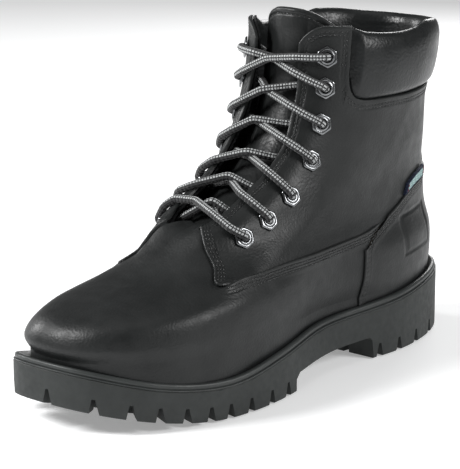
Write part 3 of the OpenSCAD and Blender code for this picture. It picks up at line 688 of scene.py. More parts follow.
def vamp_weight(f):
    """1 where the vamp laps over the quarter, 0 where the quarter laps over the vamp."""
    return smoothstep((f - 65) / 9)


THROAT_RISE = 0.36
THROAT_DIP = 5.5  # how far the leather sinks there towards the tongue


def throat_rise(f):
    """How far the vamp runs up over the tongue between the two flaps."""
    return THROAT_RISE * (1 - smoothstep((f - 9) / 9))


def vamp():
    u = np.linspace(-1, 1, 301)
    f = 116 * np.abs(u)

    def lean(a, h):
        behind = patch_edge(h) + 1 - 116
        return np.sign(a) * np.clip((np.abs(a) - 100) / 16, 0, 1) * behind

    def top(a):
        b = np.abs(a + lean(a, 3.15))
        under = smoothstep((b - 18) / 6) * (1 - vamp_weight(b))
        return vamp_top(b) + 0.04 * vamp_weight(b) + 0.14 * under + throat_rise(b)

    a, h = grid(np.sign(u) * f, lambda a: -1 + 0 * a, top, 62, lean)
    p = on_shaft(a, h)
    laps, throat = [], []
    for side in (1, -1):
        line = sampled(66, 121, vamp_top, side)
        laps.append(line_on(line[0], line[1] + 0.04))
        throat.append(line_on(*sampled(0, 20, lambda f: vamp_top(f) + throat_rise(f), side)))
    x = np.minimum(distance(p, laps[0]), distance(p, laps[1]))
    x_throat = np.minimum(distance(p, throat[0]), distance(p, throat[1]))
    weight = vamp_weight(fold(a)) * smoothstep((120.5 - fold(a)) / 3)
    under = (1 - vamp_weight(fold(a))) * smoothstep((fold(a) - 17) / 5)
    tucked = smoothstep((h - vamp_top(fold(a)) + 0.12) / 0.2) * under
    dip = THROAT_DIP * np.clip((h - 4.75) / 0.45, 0, 1.2)**1.5 * (1 - smoothstep((fold(a) - 10) / 9))
    d = (seam_profile(x, weight) - rounding(np.minimum(x, x_throat)) * (1 - under) - 0.9 * tucked - dip
         + wrinkles(p, 11, 0.16) * smoothstep(x / 12))
    thickness = np.minimum(LEATHER, np.where(weight > 0.5, 1.2 + 0.6 * smoothstep(x / 8), LEATHER))
    # nearness to an exposed edge, which the leather paints paler: partly wear, partly a painted highlight on
    # the raised edge
    edge = np.exp(-(np.minimum(x, x_throat) / 0.7)**2) * (1 - under)
    solid("vamp_leather", on_shaft(a, h, d), on_shaft(a, h, d - thickness), SMOOTH, "leather_smooth",
          edge=edge, stands_for=["vamp"])
    rows = []
    for side in (1, -1):
        line = sampled(68, 119, vamp_top, side)
        for row in STITCH_ROWS:
            rows.append(on_seam(line, -side * row, float(seam_profile(row, 1.0)) + 0.12))
    stitches("vamp_stitches", rows)


def quarter(side, name):
    f = np.concatenate([18 + FINE * 1.25, np.linspace(29.5, 52.4, 30), np.linspace(52.8, 54.4, 17),
                        np.linspace(55, 75, 26), np.linspace(76, 179.6, 96)])

    def lean(a, h):
        return side * (flap_edge(h) - 18) * np.clip(1 - (np.abs(a) - 18) / 14, 0, 1)

    def low(a):
        b = np.abs(a)
        return quarter_low(b) - 0.1 * vamp_weight(b)

    a, h = grid(side * f[::side], low, lambda a: quarter_top(np.abs(a)), 46, lean)
    p = on_shaft(a, h)
    tab = line_on(*sampled(18, 70, quarter_low, side))
    front = line_on(*flap_line(side), n=4000)
    x_tab, x_front = distance(p, tab), distance(p, front)
    weight = 1 - vamp_weight(fold(a))
    d = (seam_profile(x_tab, weight) + seam_profile(x_front, 1.0, [3.3, 5], 0.5)
         - rounding(x_front) - rounding(x_tab) * weight + wrinkles(p, 9, 0.22) * smoothstep(x_front / 14))
    thickness = 1.2 + 0.6 * smoothstep(np.minimum(x_tab, x_front) / 8)
    # nearness to an exposed edge, which the leather paints paler: partly wear, partly a painted highlight on
    # the raised edge
    edge = np.maximum(np.exp(-(x_front / 0.7)**2), np.exp(-(x_tab / 0.7)**2) * weight)
    solid(name + "_leather", on_shaft(a, h, d), on_shaft(a, h, d - thickness), SMOOTH, "leather_smooth",
          edge=edge, stands_for=[name])
    rows = []
    for row in STITCH_ROWS:
        rows.append(on_seam(sampled(20, 66, quarter_low, side), side * row, float(seam_profile(row)) + 0.12))
    for row in (3.3, 5):
        height = float(seam_profile(row, 1.0, [row], 0.5)) + 0.12
        h_front = np.linspace(5.0, 8.6, 160)
        rows.append(on_seam((side * flap_edge(h_front), h_front), -side * row, height))
        rows.append(on_seam(sampled(21, 51, quarter_top, side), -side * row, height))
        h_side = np.linspace(8.85, 8.25, 30)
        rows.append(on_seam((side * (54.1 + 0 * h_side), h_side), -side * row, height))
        rows.append(on_seam(sampled(56, 179, quarter_top, side), -side * row, height))
    stitches(name + "_stitches", rows)


MARK = [130, 151, 1.35, 3.2]  # angles and heights of the pressed panel on the heel patch


def pressed(x, low, high, margin):
    """1 well inside low..high and 0 outside, fading over margin."""
    return smoothstep((x - low) / margin) * smoothstep((high - x) / margin)


def heel_patch():
    half = np.concatenate([115 + FINE * 0.45, np.linspace(119.5, 180, 110)[:-1]])
    columns = np.concatenate([half, [180], 360 - half[::-1]])

    def lean(a, h):
        b = fold(a)
        return np.where(a < 180, 1, -1) * (patch_edge(h) - 115) * np.clip(1 - (b - 115) / 8, 0, 1)

    def top(a):
        return np.where(fold(a) < 121, 2.3 + 1.02 * smoothstep((fold(a) - 115) / 6), patch_top(fold(a)))

    a, h = grid(columns, lambda a: -1 + 0 * a, top, 60, lean)
    p = on_shaft(a, h)
    lines = [line_on(*patch_line(side), n=4000) for side in (1, -1)]
    x = np.minimum(distance(p, lines[0]), distance(p, lines[1]))
    f = fold(a)
    frame_in = pressed(f, MARK[0], MARK[1], 0.7) * pressed(h, MARK[2], MARK[3], 0.06)
    core = pressed(f, MARK[0] + 2, MARK[1] - 2, 0.7) * pressed(h, MARK[2] + 0.16, MARK[3] - 0.16, 0.06)
    d = (seam_profile(x) - rounding(x) - 0.55 * frame_in + 0.45 * core
         + wrinkles(p, 10, 0.14) * smoothstep(x / 12))
    solid("heel_patch_leather", on_shaft(a, h, d), on_shaft(a, h, d - 1.2 - 0.6 * smoothstep(x / 8)), SMOOTH,
          "leather_smooth", edge=np.exp(-(x / 0.7)**2), stands_for=["heel_patch"])
    rows = []
    for side in (1, -1):
        for row in STITCH_ROWS:
            rows.append(on_seam(patch_line(side), -side * row, float(seam_profile(row)) + 0.12))
    stitches("heel_patch_stitches", rows)


STRIP = 164.5    # angle of the back strip's edges
STRIP_LOW, STRIP_HIGH = 4.5, 7.42


def back_strip():
    """Strip that covers the seam between the quarters at the back."""
    columns = np.concatenate([STRIP + FINE[:12] * 0.9, np.linspace(175, 185, 8),
                              360 - (STRIP + FINE[:12] * 0.9)[::-1]])
    a, h = grid(columns, lambda a: STRIP_LOW + 0 * a, lambda a: STRIP_HIGH + 0 * a, 30)
    p = on_shaft(a, h)
    heights = np.linspace(STRIP_LOW, STRIP_HIGH, 100)
    sides = [line_on(edge + 0 * heights, heights) for edge in (STRIP, 360 - STRIP)]
    x = np.minimum(distance(p, sides[0]), distance(p, sides[1]))
    d = 1.35 + seam_profile(x, 1.0, [2], 0.2) - rounding(x)
    solid("back_strip", on_shaft(a, h, d), on_shaft(a, h, 0.1 + 0 * h), SMOOTH, "leather_smooth",
          edge=np.exp(-(x / 0.6)**2))
    rows = [on_seam((edge + 0 * heights, heights), turn * 2, 1.45)
            for edge, turn in ((STRIP, -1), (360 - STRIP, 1))]
    stitches("back_strip_stitches", rows)


# Section of the padded collar: how far up from its seam to the rim, and how far out of the last
COLLAR_SECTION = [[-0.06, -1.9], [0.0, -1.2], [0.06, 0.6], [0.16, 2.2], [0.36, 3.1], [0.6, 3.2], [0.82, 2.5],
                  [0.96, 0.6], [1.02, -1.8], [1.0, -4.2], [0.92, -5.9], [0.78, -6.5], [0.6, -6.2]]
COLLAR_BACK = [[0.57, -4.6], [0.3, -4.4], [0.0, -4.3], [-0.05, -3.0]]


def collar():
    """Padded roll round the shaft's rim, thin at its two front ends."""
    section = np.array(COLLAR_SECTION)
    u = np.linspace(0, len(section) - 1, 61)
    outside = smooth_rows(section, u)
    loop = np.concatenate([outside, np.array(COLLAR_BACK)])
    f = np.concatenate([np.linspace(53.2, 62, 24), np.linspace(63, 180, 110)[:-1]])
    columns = np.concatenate([f, [180], 360 - f[::-1]])[:, None]
    b = fold(columns)
    full = smoothstep((b - 53) / 9)
    seam = quarter_top(np.maximum(b, 55.5))
    h = seam + (curve(COLLAR_RIM, b) - seam) * loop[:, 0]
    thin = np.interp(loop[:, 1], [-6.5, 3.2], [-4.2, -1.4])
    d = thin + (loop[:, 1] - thin) * full
    p = on_shaft(columns, h)
    d = d + full * wrinkles(p, 14, 0.25) * (loop[:, 1] > -6.4)
    rings = on_shaft(columns, h, d)
    piece = loop_solid("collar_roll", rings[:, ::-1], COLLAR, "leather_collar",
                       stands_for=["collar_cover", "collar_foam"], sharp=70,
                       edge=0 * rings[..., 0])


LABEL = [130, 147, 0.4]


def side_label():
    """Woven label sewn into the seam above the heel patch: a pale face in a dark border."""
    a0, a1, tall = LABEL
    u, v = np.linspace(0, 1, 45), np.linspace(0, 1, 21)
    angles = a0 + (a1 - a0) * u[:, None] + 0 * v
    heights = patch_top(angles) + 0.05 + tall * v
    edge_gap = np.minimum(np.minimum(u, 1 - u)[:, None] * 24, np.minimum(v, 1 - v) * 7)
    top = 2.3 - rounding(edge_gap, 0.7) - 0.25 * smoothstep((edge_gap - 1.1) / 0.4)
    piece = solid("side_label_patch", on_shaft(angles, heights, top),
                  on_shaft(angles, heights, 0.35 + 0 * top), LABEL_FACE, "label", stands_for=["side_label"])
    piece.data.materials.append(LABEL_EDGE)
    faces = quads(len(u), len(v))
    ring_faces = [max(edge_gap.ravel()[k] for k in face) < 1.3 for face in faces]
    index = [1 if dark else 0 for dark in ring_faces] + [1] * (len(piece.data.polygons) - len(faces))
    piece.data.polygons.foreach_set("material_index", index)
    ends = []
    for angle in (a0 + 0.9, a1 - 0.9):
        v_line = np.linspace(0.08, 0.92, 30)
        a = angle + 0 * v_line
        h = patch_top(a) + 0.05 + tall * v_line
        ends.append((on_shaft(a, h, 2.35), last_normal(a, h)))
    stitches("side_label_stitches", ends, material=LABEL_THREAD, slot="label", radius=0.3)


# ---- layers behind the leather ----


def lining_depth(f):
    return np.interp(f, EYESTAY, [MIDDLE, INNER])


def area_of(p):
    """Area of a grid of points, in square metres."""
    a, b = p[1:, :-1] - p[:-1, :-1], p[:-1, 1:] - p[:-1, :-1]
    return float(np.linalg.norm(np.cross(a, b), axis=2).sum()) * MM**2


def as_sheet(p):
    """Works out the area of a lining's grid of points; nothing uses the result."""
    area_of(p)


def cap_height(a, y):
    """Height on the last at which its surface reaches y, at each angle."""
    low, high = 1 + 0 * a, 6 + 0 * a
    for _ in range(16):
        middle = (low + high) / 2
        before = last_point(a, middle)[..., 1] < y
        low, high = np.where(before, middle, low), np.where(before, high, middle)
    return (low + high) / 2


def layer(name, a, h, depth, thickness, material, slot, node, place=on_shaft, **options):
    return solid(name, place(a, h, -depth), place(a, h, -depth - thickness), material, slot,
                 stands_for=[node], **options)


CAP_BACK = -98
STRIP_L = 10


def hidden_layers():
    a = np.linspace(-110, 110, 89)[:, None] + np.zeros(25)
    front = CAP_BACK + STRIP_L + 0.6
    past = last_point(a[:, :1], 1)[..., 1] - front
    low = np.where(past < 0, cap_height(a[:, :1], front), np.maximum(-0.9, 1 - past / 12))
    t = np.linspace(0, 1, 25)
    h = low + (vamp_top(fold(a[:, :1])) - 0.1 - low) * t
    layer("vamp_felt", a, h, MIDDLE + SLACK + 0 * h, BACKING, FELT, "insulation", "vamp_insulation", on_last)

    a = np.linspace(68, 292, 97)[:, None] + np.zeros(25)
    low = np.where(fold(a[:, :1]) < 111, vamp_top(fold(a[:, :1])) + 0.1, 3.4)
    h = low + (curve(COLLAR_SEAM, fold(a[:, :1])) - 0.15 - low) * t
    layer("shaft_felt", a, h, MIDDLE + 0 * h, BACKING, FELT, "insulation", "shaft_insulation")

    a = np.linspace(-68, 60, 61)[:, None] + np.zeros(7)
    h = cap_height(a, CAP_BACK + 0.6 + (STRIP_L - 0.6) * np.linspace(0, 1, 7))
    layer("cap_strip", a, h, MIDDLE + 0 * h, BACKING, BED_FOAM, "foam", "toe_cap_strip", on_last)

    a = np.linspace(-112, 112, 91)[:, None] + np.zeros(41)
    h = -0.9 + (vamp_top(fold(a[:, :1])) - 0.1 + 0.9) * np.linspace(0, 1, 41)
    piece = layer("toe_cloth", a, h, INNER + 0.5 + 0 * h, LINING, CLOTH, "lining", "toe_lining", on_last)
    as_sheet(on_last(a, h, -INNER - 1 + 0 * h))


def shaft_lining():
    f = np.concatenate([18 + FINE * 1.25, np.linspace(29.5, 180, 110)[:-1]])
    columns = np.concatenate([f, [180], 360 - f[::-1]])

    def low(a):
        return np.interp(fold(a), [18, 31, 45, 68, 75, 90, 112, 115, 180],
                         [4.95, 4.56, 4.15, 3.27, 3.4, 3.4, 3.22, -0.9, -0.9])

    def top(a):
        b = fold(a)
        return np.where(b < 53, curve(FLAP_TOP, b), np.interp(b, [53, 58, 180], [8.97, 8.8, 8.7]))

    def lean(a, h):
        b = fold(a)
        return np.where(a < 180, 1, -1) * (flap_edge(h) - 18) * np.clip(1 - (b - 18) / 14, 0, 1)

    a, h = grid(columns, low, top, 50, lean)
    depth = lining_depth(fold(a))
    outer, inner = on_shaft(a, h, -depth), on_shaft(a, h, -depth - LINING)
    piece = solid("shaft_cloth", outer, inner, CLOTH, "lining", stands_for=["shaft_lining"])
    as_sheet((outer + inner) / 2)


# ---- tongue ----

TONGUE_BASE, TONGUE_TOP, TONGUE_A = 4.3, 9.25, 46
TONGUE_T = 4.5


def tongue_face(a, h):
    crown = np.where(np.abs(a) < 20, 2.6 * np.cos(np.radians(4.5 * a)), 0)
    return -TONGUE_DEPTH + crown - lift(a, h) * np.interp(h, [4.8, 5.3], [1, 0])


def tongue():
    """Padded tongue with a rolled edge, and its cloth back."""
    columns = np.concatenate([-TONGUE_A + FINE * 1.1, np.linspace(-36, 36, 73),
                              (TONGUE_A - FINE * 1.1)[::-1]])
    a, h = grid(columns, lambda a: TONGUE_BASE + 0 * a, lambda a: TONGUE_TOP - 0.3 * (a / TONGUE_A)**2, 60)
    face = tongue_face(a, h)
    p = on_shaft(a, h, face)
    b = np.linspace(-TONGUE_A, TONGUE_A, 400)
    top = on_shaft(b, TONGUE_TOP - 0.3 * (b / TONGUE_A)**2, tongue_face(b, TONGUE_TOP + 0 * b))
    heights = np.linspace(TONGUE_BASE, TONGUE_TOP - 0.3, 500)
    sides = [on_shaft(edge + 0 * heights, heights, tongue_face(edge + 0 * heights, heights))
             for edge in (-TONGUE_A, TONGUE_A)]
    x = np.minimum(distance(p, top), np.minimum(distance(p, sides[0]), distance(p, sides[1])))
    groove = 0.7 * np.exp(-((x - 3.6) / 0.7)**2)
    mark = pressed(a, -1, 17, 1.2) * pressed(h, 8.42, 8.82, 0.05)
    d = face - groove - rounding(x, 1.7) - 0.5 * mark + wrinkles(p, 9, 0.2)
    back = face - TONGUE_T + 1.4 * (1 - smoothstep(x / 6))
    piece = solid("tongue_pad", on_shaft(a, h, d), on_shaft(a, h, back), TONGUE, "leather_smooth",
                  body="tongue", edge=0.5 * np.exp(-(x / 1.2)**2),
                  stands_for=["tongue_leather", "tongue_foam"])
    inside = face - TONGUE_T - 0.15 + 1.2 * (1 - smoothstep(x / 6))
    cloth = solid("tongue_cloth", on_shaft(a, h, inside), on_shaft(a, h, inside - 0.7), CLOTH, "lining",
                  body="tongue", stands_for=["tongue_lining"])
    as_sheet(on_shaft(a, h, inside - 0.35))
    b = np.linspace(-41, 41, 120)
    rows = []
    for gap in (0.125, 0.165):
        level = TONGUE_TOP - 0.3 * (b / TONGUE_A)**2 - gap
        rows.append((on_shaft(b, level, tongue_face(b, level) - 0.6), last_normal(b, level)))
    stitches("tongue_stitches", rows, body="tongue")


def gussets():
    for side, name in ((1, "gusset_lateral"), (-1, "gusset_medial")):
        a = side * np.linspace(48, 64, 17)[::side][:, None] + np.zeros(41)
        h = 5.4 + 2.4 * np.linspace(0, 1, 41) + 0 * a
        depth = np.interp(np.abs(a), [48, 64], [TONGUE_DEPTH + 2, INNER + LINING + 1])
        slack = 0.15 * np.sin(h * 14) * pressed(h, 5.4, 7.8, 0.4)
        outer = on_shaft(a, h, -depth + slack)
        piece = solid(name + "_fold", outer, on_shaft(a, h, -depth - 0.8 + slack), TONGUE, "leather_smooth",
                      body="tongue", stands_for=[name])
        as_sheet(outer)


# ---- sole ----

ANGLES = np.arange(0, 360, 1.5)


def cap_faces(n, start, flip):
    """Strips that close a ring of n points, from each side to the other."""
    faces = []
    for i in range(n // 2):
        face = list(dict.fromkeys([start + i, start + (n - i) % n, start + (n - i - 1) % n, start + i + 1]))
        faces.append(face[::-1] if flip else face)
    return faces


def ring_solid(name, rings, material, slot, hollow=False, **options):
    """Solid from stacked rings, (rings, points, 3), from the bottom up; hollow joins last to first."""
    n, m = rings.shape[:2]
    faces = []
    for i in range(n if hollow else n - 1):
        low, high = i * m, (i + 1) % n * m
        for j in range(m):
            k = (j + 1) % m
            faces.append([low + j, low + k, high + k, high + j])
    if not hollow:
        faces += cap_faces(m, 0, False) + cap_faces(m, (n - 1) * m, True)
    return add_piece(name, rings.reshape(-1, 3), faces, material, slot, **options)


def sole_ring(d, height):
    """The sole's outline a distance d inside its edge; height gives z from y."""
    p = sole_outline(ANGLES, d)
    return np.concatenate([p, height(p[:, 1])[:, None]], 1)


def floor_z(y):
    over_arch = (y > -31) & (y < 65)
    return np.maximum(spring(y) + LUG_DEPTH + FLOOR_T, np.where(over_arch, 16, 0))


NOTCHES = [-144, -131, -118, -104, -90, -77, -62, -45, -29, 64, 81, 101, 123]
TOE_NOTCHES = [-30, 4]
NOTCH_W = [5.8, 1.9]  # widths of a side notch at the ground and at its top
NOTCH_H = 8
NOTCH_SHIFT = 2  # how far the notches stand nearer the toe than NOTCHES says
NOTCH_L = 22
RIB_W = 4


def boxes_mesh(name, boxes):
    """One cutter mesh from blocks of eight points each: four below, four above, in the same order."""
    vertices, faces = [], []
    for points in boxes:
        k = len(vertices)
        vertices += [list(p) for p in points]
        for face in ((3, 2, 1, 0), (4, 5, 6, 7), (0, 1, 5, 4), (1, 2, 6, 5), (2, 3, 7, 6), (3, 0, 4, 7)):
            faces.append([k + i for i in face])
    mesh = bpy.data.meshes.new(name)
    mesh.from_pydata((np.array(vertices) * MM).tolist(), [], faces)
    cutter = bpy.data.objects.new(name, mesh)
    bpy.context.collection.objects.link(cutter)
    return cutter


def block(centre, turn, length, widths, tops, back=0.0):
    """Eight points of a gap: along x from back to length, with its widths and tops below and above."""
    c, s = cos(turn), sin(turn)
    points = []
    for z, w in ((tops[0], widths[0]), (tops[1], widths[1])):
        for x, y in ((back, -w / 2), (length, -w / 2), (length, w / 2), (back, w / 2)):
            points.append((centre[0] + c * x - s * y, centre[1] + s * x + c * y, z))
    return points


def gaps():
    """Gaps of the tread: side notches and crossing channels; the arch has a cutter of its own."""
    made = []
    slope = (NOTCH_W[0] - NOTCH_W[1]) / NOTCH_H
    for side in (1, -1):
        line = np.arange(0.5, 180, 0.5) * side
        p = sole_outline(line, 0)
        for y in NOTCHES:
            k = int(np.argmin(np.abs(p[:, 1] - y + NOTCH_SHIFT)))
            made.append((p[k], line[k]))
    made += [(sole_outline(np.array([float(a)]), 0)[0], float(a)) for a in TOE_NOTCHES]
    boxes = []
    for p, a in made:
        t = sole_outline(np.array([a - 0.5, a + 0.5]), 0)
        t = t[1] - t[0]
        turn = np.arctan2(-t[0], t[1])
        base = float(spring(p[1]))
        boxes.append(block(p, turn, 6, (NOTCH_W[0] + slope * 6, NOTCH_W[1]),
                           (base - 6, base + NOTCH_H), -NOTCH_L))
    for y in range(-124, -29, 17):
        for turn in (-1, 1):
            base = float(spring(y))
            boxes.append(block((turn * 14, y), radians(turn * 20), 16, (RIB_W, RIB_W),
                               (base - 12, base + LUG_DEPTH), -16))
    for y in (81, 101, 121):
        boxes.append(block((0, y), 0, 22, (RIB_W, RIB_W), (-6, LUG_DEPTH), -22))
    return boxes


def channel_cutter():
    """Channel that runs round inside the side lugs."""
    rings = [sole_ring(NOTCH_L - RIB_W, lambda y: spring(y) - 8),
             sole_ring(NOTCH_L - RIB_W, lambda y: spring(y) + LUG_DEPTH),
             sole_ring(NOTCH_L, lambda y: spring(y) + LUG_DEPTH),
             sole_ring(NOTCH_L, lambda y: spring(y) - 8)]
    m = len(ANGLES)
    faces = [[i * m + j, i * m + (j + 1) % m, (i + 1) % 4 * m + (j + 1) % m, (i + 1) % 4 * m + j]
             for i in range(4) for j in range(m)]
    mesh = bpy.data.meshes.new("channel")
    mesh.from_pydata((np.array(rings).reshape(-1, 3) * MM).tolist(), [], faces)
    cutter = bpy.data.objects.new("channel", mesh)
    bpy.context.collection.objects.link(cutter)
    return cutter


def arch_cutter():
    profile = [(-21, -5), (-21, 7), (-17, 10), (53, 13), (55, 11), (57, -5)]
    n = len(profile)
    vertices = [(x, y, z) for x in (-80, 80) for y, z in profile]
    faces = [list(range(n)), [n + i for i in range(n)][::-1]]
    faces += [[(i + 1) % n, i, n + i, n + (i + 1) % n] for i in range(n)]
    mesh = bpy.data.meshes.new("arch")
    mesh.from_pydata((np.array(vertices) * MM).tolist(), [], faces)
    cutter = bpy.data.objects.new("arch", mesh)
    bpy.context.collection.objects.link(cutter)
    return cutter


def cut(piece, cutter):
    """Takes the cutter out of the piece for good."""
    mesh = cutter.data
    mesh.update()
    step = piece.modifiers.new("cut", "BOOLEAN")
    step.object = cutter
    step.solver = "EXACT"
    step.use_self = True
    graph = bpy.context.evaluated_depsgraph_get()
    result = bpy.data.meshes.new_from_object(piece.evaluated_get(graph))
    piece.modifiers.clear()
    piece.data = result
    bpy.data.objects.remove(cutter)


# Outside of the sole's wall from the ground up: distance inside the outline, and height above the ground
# or below the rim
WALL_LOW = [(0.7, 0.0), (0.2, 0.25), (0.0, 0.8)]
WALL_HIGH = [(0.0, 7.2), (0.0, 5.2), (0.0, 4.2), (0.5, 3.6)]


def outsole():
    rings = [sole_ring(d, lambda y, up=up: spring(y) + up) for d, up in WALL_LOW]
    rings += [sole_ring(d, lambda y, down=down: rim(y) - down) for d, down in WALL_HIGH]
    rings += [sole_ring(WALL_T, lambda y: rim(y) - 3.6), sole_ring(WALL_T, floor_z)]
    piece = ring_solid("outsole_rubber", np.array(rings), SOLE_RUBBER, "rubber_sole", stands_for=["outsole"])
    cut(piece, arch_cutter())
    cut(piece, channel_cutter())
    cut(piece, boxes_mesh("gaps", gaps()))
    piece.data.set_sharp_from_angle(angle=radians(35))
    soften = piece.modifiers.new("soft edges", "BEVEL")
    soften.width = 0.35 * MM
    soften.segments = 2
    soften.limit_method = "ANGLE"
    soften.angle_limit = radians(40)
    soften.harden_normals = True


# Section of the welt from its foot on the sole's wall, outwards and over the bead to the upper
WELT_SECTION = [(0.6, 3.6), (0.1, 3.4), (0.0, 3.1), (0.15, 2.8), (0.55, 2.65), (0.85, 2.8), (1.0, 3.1),
                (1.1, 2.7), (0.85, 2.0), (0.75, 1.1), (1.0, 0.3), (1.7, -0.3), (2.5, -0.5),
                (3.2, -0.35), (3.8, 0.2)]


def welt():
    rings = [sole_ring(d, lambda y, down=down: rim(y) - down) for d, down in WELT_SECTION]
    for down in (0.9, 3.5):
        p = foot_outline(ANGLES, 0.15)
        rings.append(np.concatenate([p, rim(p[:, 1])[:, None] - down], 1))
    ring_solid("welt_strip", np.array(rings), WELT_RUBBER, "welt", hollow=True, stands_for=["welt"], sharp=80)


def footbed():
    """Moulded footbed: foam with a cloth top, a little cupped at its edge."""
    def ring_at(d, up, cup=0.0):
        p = foot_outline(ANGLES, -9 - d)
        lift_edge = cup * smoothstep((p[:, 1] - 40) / 60)
        return np.concatenate([p, (rim(p[:, 1]) + up + lift_edge)[:, None]], 1)

    foam = [ring_at(0.8, -0.8), ring_at(0.1, -0.4), ring_at(0, 0.4), ring_at(0, 4.0), ring_at(0.3, 4.4)]
    piece = ring_solid("footbed_pad", np.array(foam), BED_FOAM, "footbed", body="footbed",
                       stands_for=["footbed_foam"], sharp=60)
    cover = [ring_at(0.5, 4.45), ring_at(0, 4.6), ring_at(0, 5.1), ring_at(0.3, 5.35), ring_at(1.2, 5.4),
             ring_at(5, 5.35), ring_at(12, 5.1), ring_at(20, 5.0)]
    ring_solid("footbed_top", np.array(cover), BED_CLOTH, "footbed", body="footbed",
               stands_for=["footbed_cover"], sharp=60)


# ---- eyelets and lace ----

# Eyelets from the top one down, as [angle, height]
EYELETS = [[38, 8.5], [39, 8], [43, 7.3], [49, 6.4], [54, 5.5], [53.5, 4.95], [49, 4.6]]
CROSSINGS = [[0, 0], [-3, 8.44], [-5, 7.92], [-6, 7.35], [1, 6.65], [1, 6.05], [6, 5.5]]
ENTRIES = [8.5, 8.06, 7.36, 6.65, 5.92, 5.38]
BAR = [[-36, 4.95], [-27, 5.22], [-6, 5.42], [17, 5.18], [38, 4.75]]
OVER_FLANGE = SEAT + FLANGE_T + LACE_D / 2 + 0.1
OVER_FLAP = LACE_D / 2 + 0.4
# Half the eyelet's section from the rim of its hexagon in to the bore and down the barrel: radius, height,
# and how hexagonal it is
EYELET_SECTION = [(5.5, 0.4, 1), (5.5, 1.0, 1), (5.25, 1.35, 1), (4.7, 1.6, 0.9), (4.3, 1.6, 0.3),
                  (4.05, 1.45, 0), (3.8, 1.55, 0), (3.4, 1.75, 0), (3.0, 1.7, 0), (2.7, 1.3, 0),
                  (2.6, 0.6, 0), (2.6, -4.6, 0), (3.2, -4.6, 0), (3.2, 0.4, 0)]


def eyelet_frame(side, i):
    a, h = side * EYELETS[i][0], EYELETS[i][1]
    n = shaft_normal(a, h)
    down = unit(np.cross(np.array([-n[1], n[0], 0.0]), n))
    return on_shaft(a, h), n, down, np.cross(n, down)


def eyelets():
    angles = np.arange(0, 360, 7.5)
    to_flat = np.abs(np.mod(angles, 60) - 30)
    hexagon = 1 / np.cos(np.radians(to_flat))
    hexagon = np.minimum(hexagon, 1.12)
    for side, name in ((1, "eyelets_lateral"), (-1, "eyelets_medial")):
        vertices, faces = [], []
        for i in range(len(EYELETS)):
            centre, n, down, across = eyelet_frame(side, i)
            start, m, k = len(vertices), len(angles), len(EYELET_SECTION)
            for radius, z, six in EYELET_SECTION:
                r = radius * (1 + six * (hexagon - 1))
                for w, length in zip(np.radians(angles), r):
                    vertices.append(centre + n * z + length * (cos(w) * down + sin(w) * across))
            for p in range(k):
                for q in range(m):
                    q2, p2 = (q + 1) % m, (p + 1) % k
                    faces.append([start + p * m + q, start + p * m + q2, start + p2 * m + q2,
                                  start + p2 * m + q])
        add_piece(name + "_rings", vertices, faces, GUNMETAL, "eyelet_metal", stands_for=[name], sharp=38)


def eyelet_point(side, i, d):
    centre, n, _, _ = eyelet_frame(side, i)
    return centre + d * n, n


def flap_spot(side, angle, h, d):
    a = side * angle
    return on_shaft(a, h, d), shaft_normal(a, h)


def edge_point(side, h, d):
    return flap_spot(side, np.interp(h, *np.array(FLAP_EDGE).T) - (1 if d > 0 else 0), h, d)


def cross_point(i, side):
    """Strands that run to the outer side cross on top of those that run to the inner side."""
    depth = 1.6 if side < 0 else 1.5 - LACE_D
    return flap_spot(1, *CROSSINGS[i], depth)


def leave(i):
    return EYELETS[i][1] + 0.6 * (CROSSINGS[i][1] - EYELETS[i][1])


def half_way(side, i, h):
    edge = np.interp(h, *np.array(FLAP_EDGE).T)
    return flap_spot(side, (EYELETS[i][0] + edge) / 2, (EYELETS[i][1] + h) / 2, OVER_FLAP + 0.6)


def strand(side, i):
    """From outside eyelet i on one side, over the tongue and out through the next one up on the other."""
    return [eyelet_point(side, i, OVER_FLANGE), half_way(side, i, leave(i)),
            edge_point(side, leave(i), OVER_FLAP), cross_point(i, side),
            edge_point(-side, ENTRIES[i - 1], -LACE_DEPTH), eyelet_point(-side, i - 1, -LACE_DEPTH),
            eyelet_point(-side, i - 1, -1)]


def half_lace(side):
    first = [eyelet_point(side, 6, -1), eyelet_point(side, 6, -LACE_DEPTH),
             edge_point(side, 5.15, -LACE_DEPTH), cross_point(6, side),
             edge_point(-side, ENTRIES[5], -LACE_DEPTH),
             eyelet_point(-side, 5, -LACE_DEPTH), eyelet_point(-side, 5, -1)]
    middle = [p for i in range(5, 1, -1) for p in strand(-side if i % 2 else side, i)]
    side = -side
    last = [eyelet_point(side, 1, OVER_FLANGE), half_way(side, 1, leave(1)),
            edge_point(side, leave(1), OVER_FLAP), cross_point(1, side),
            edge_point(-side, ENTRIES[0], OVER_FLAP), half_way(-side, 0, ENTRIES[0]),
            eyelet_point(-side, 0, OVER_FLANGE), eyelet_point(-side, 0, -1),
            eyelet_point(-side, 0, -LACE_DEPTH)]
    return first + middle + last


def resampled(points, step):
    s = np.concatenate([[0], np.cumsum(np.linalg.norm(np.diff(points, axis=0), axis=1))])
    at = np.linspace(0, s[-1], max(2, int(s[-1] / step) + 1))
    return np.stack([np.interp(at, s, column) for column in points.T], -1), at


def rounded_route(points, step, radius):
    """Close points along a route, with its corners rounded."""
    table, at = resampled(np.asarray(points, float), step)
    reach = int(radius / step)
    weight = np.hanning(2 * reach + 3)[1:-1]
    weight /= weight.sum()
    padded = np.concatenate([2 * table[0] - table[reach:0:-1], table,
                             2 * table[-1] - table[-2:-reach - 2:-1]])
    return np.stack([np.convolve(column, weight, "valid") for column in padded.T], -1)


BRAID_PITCH = 5.0


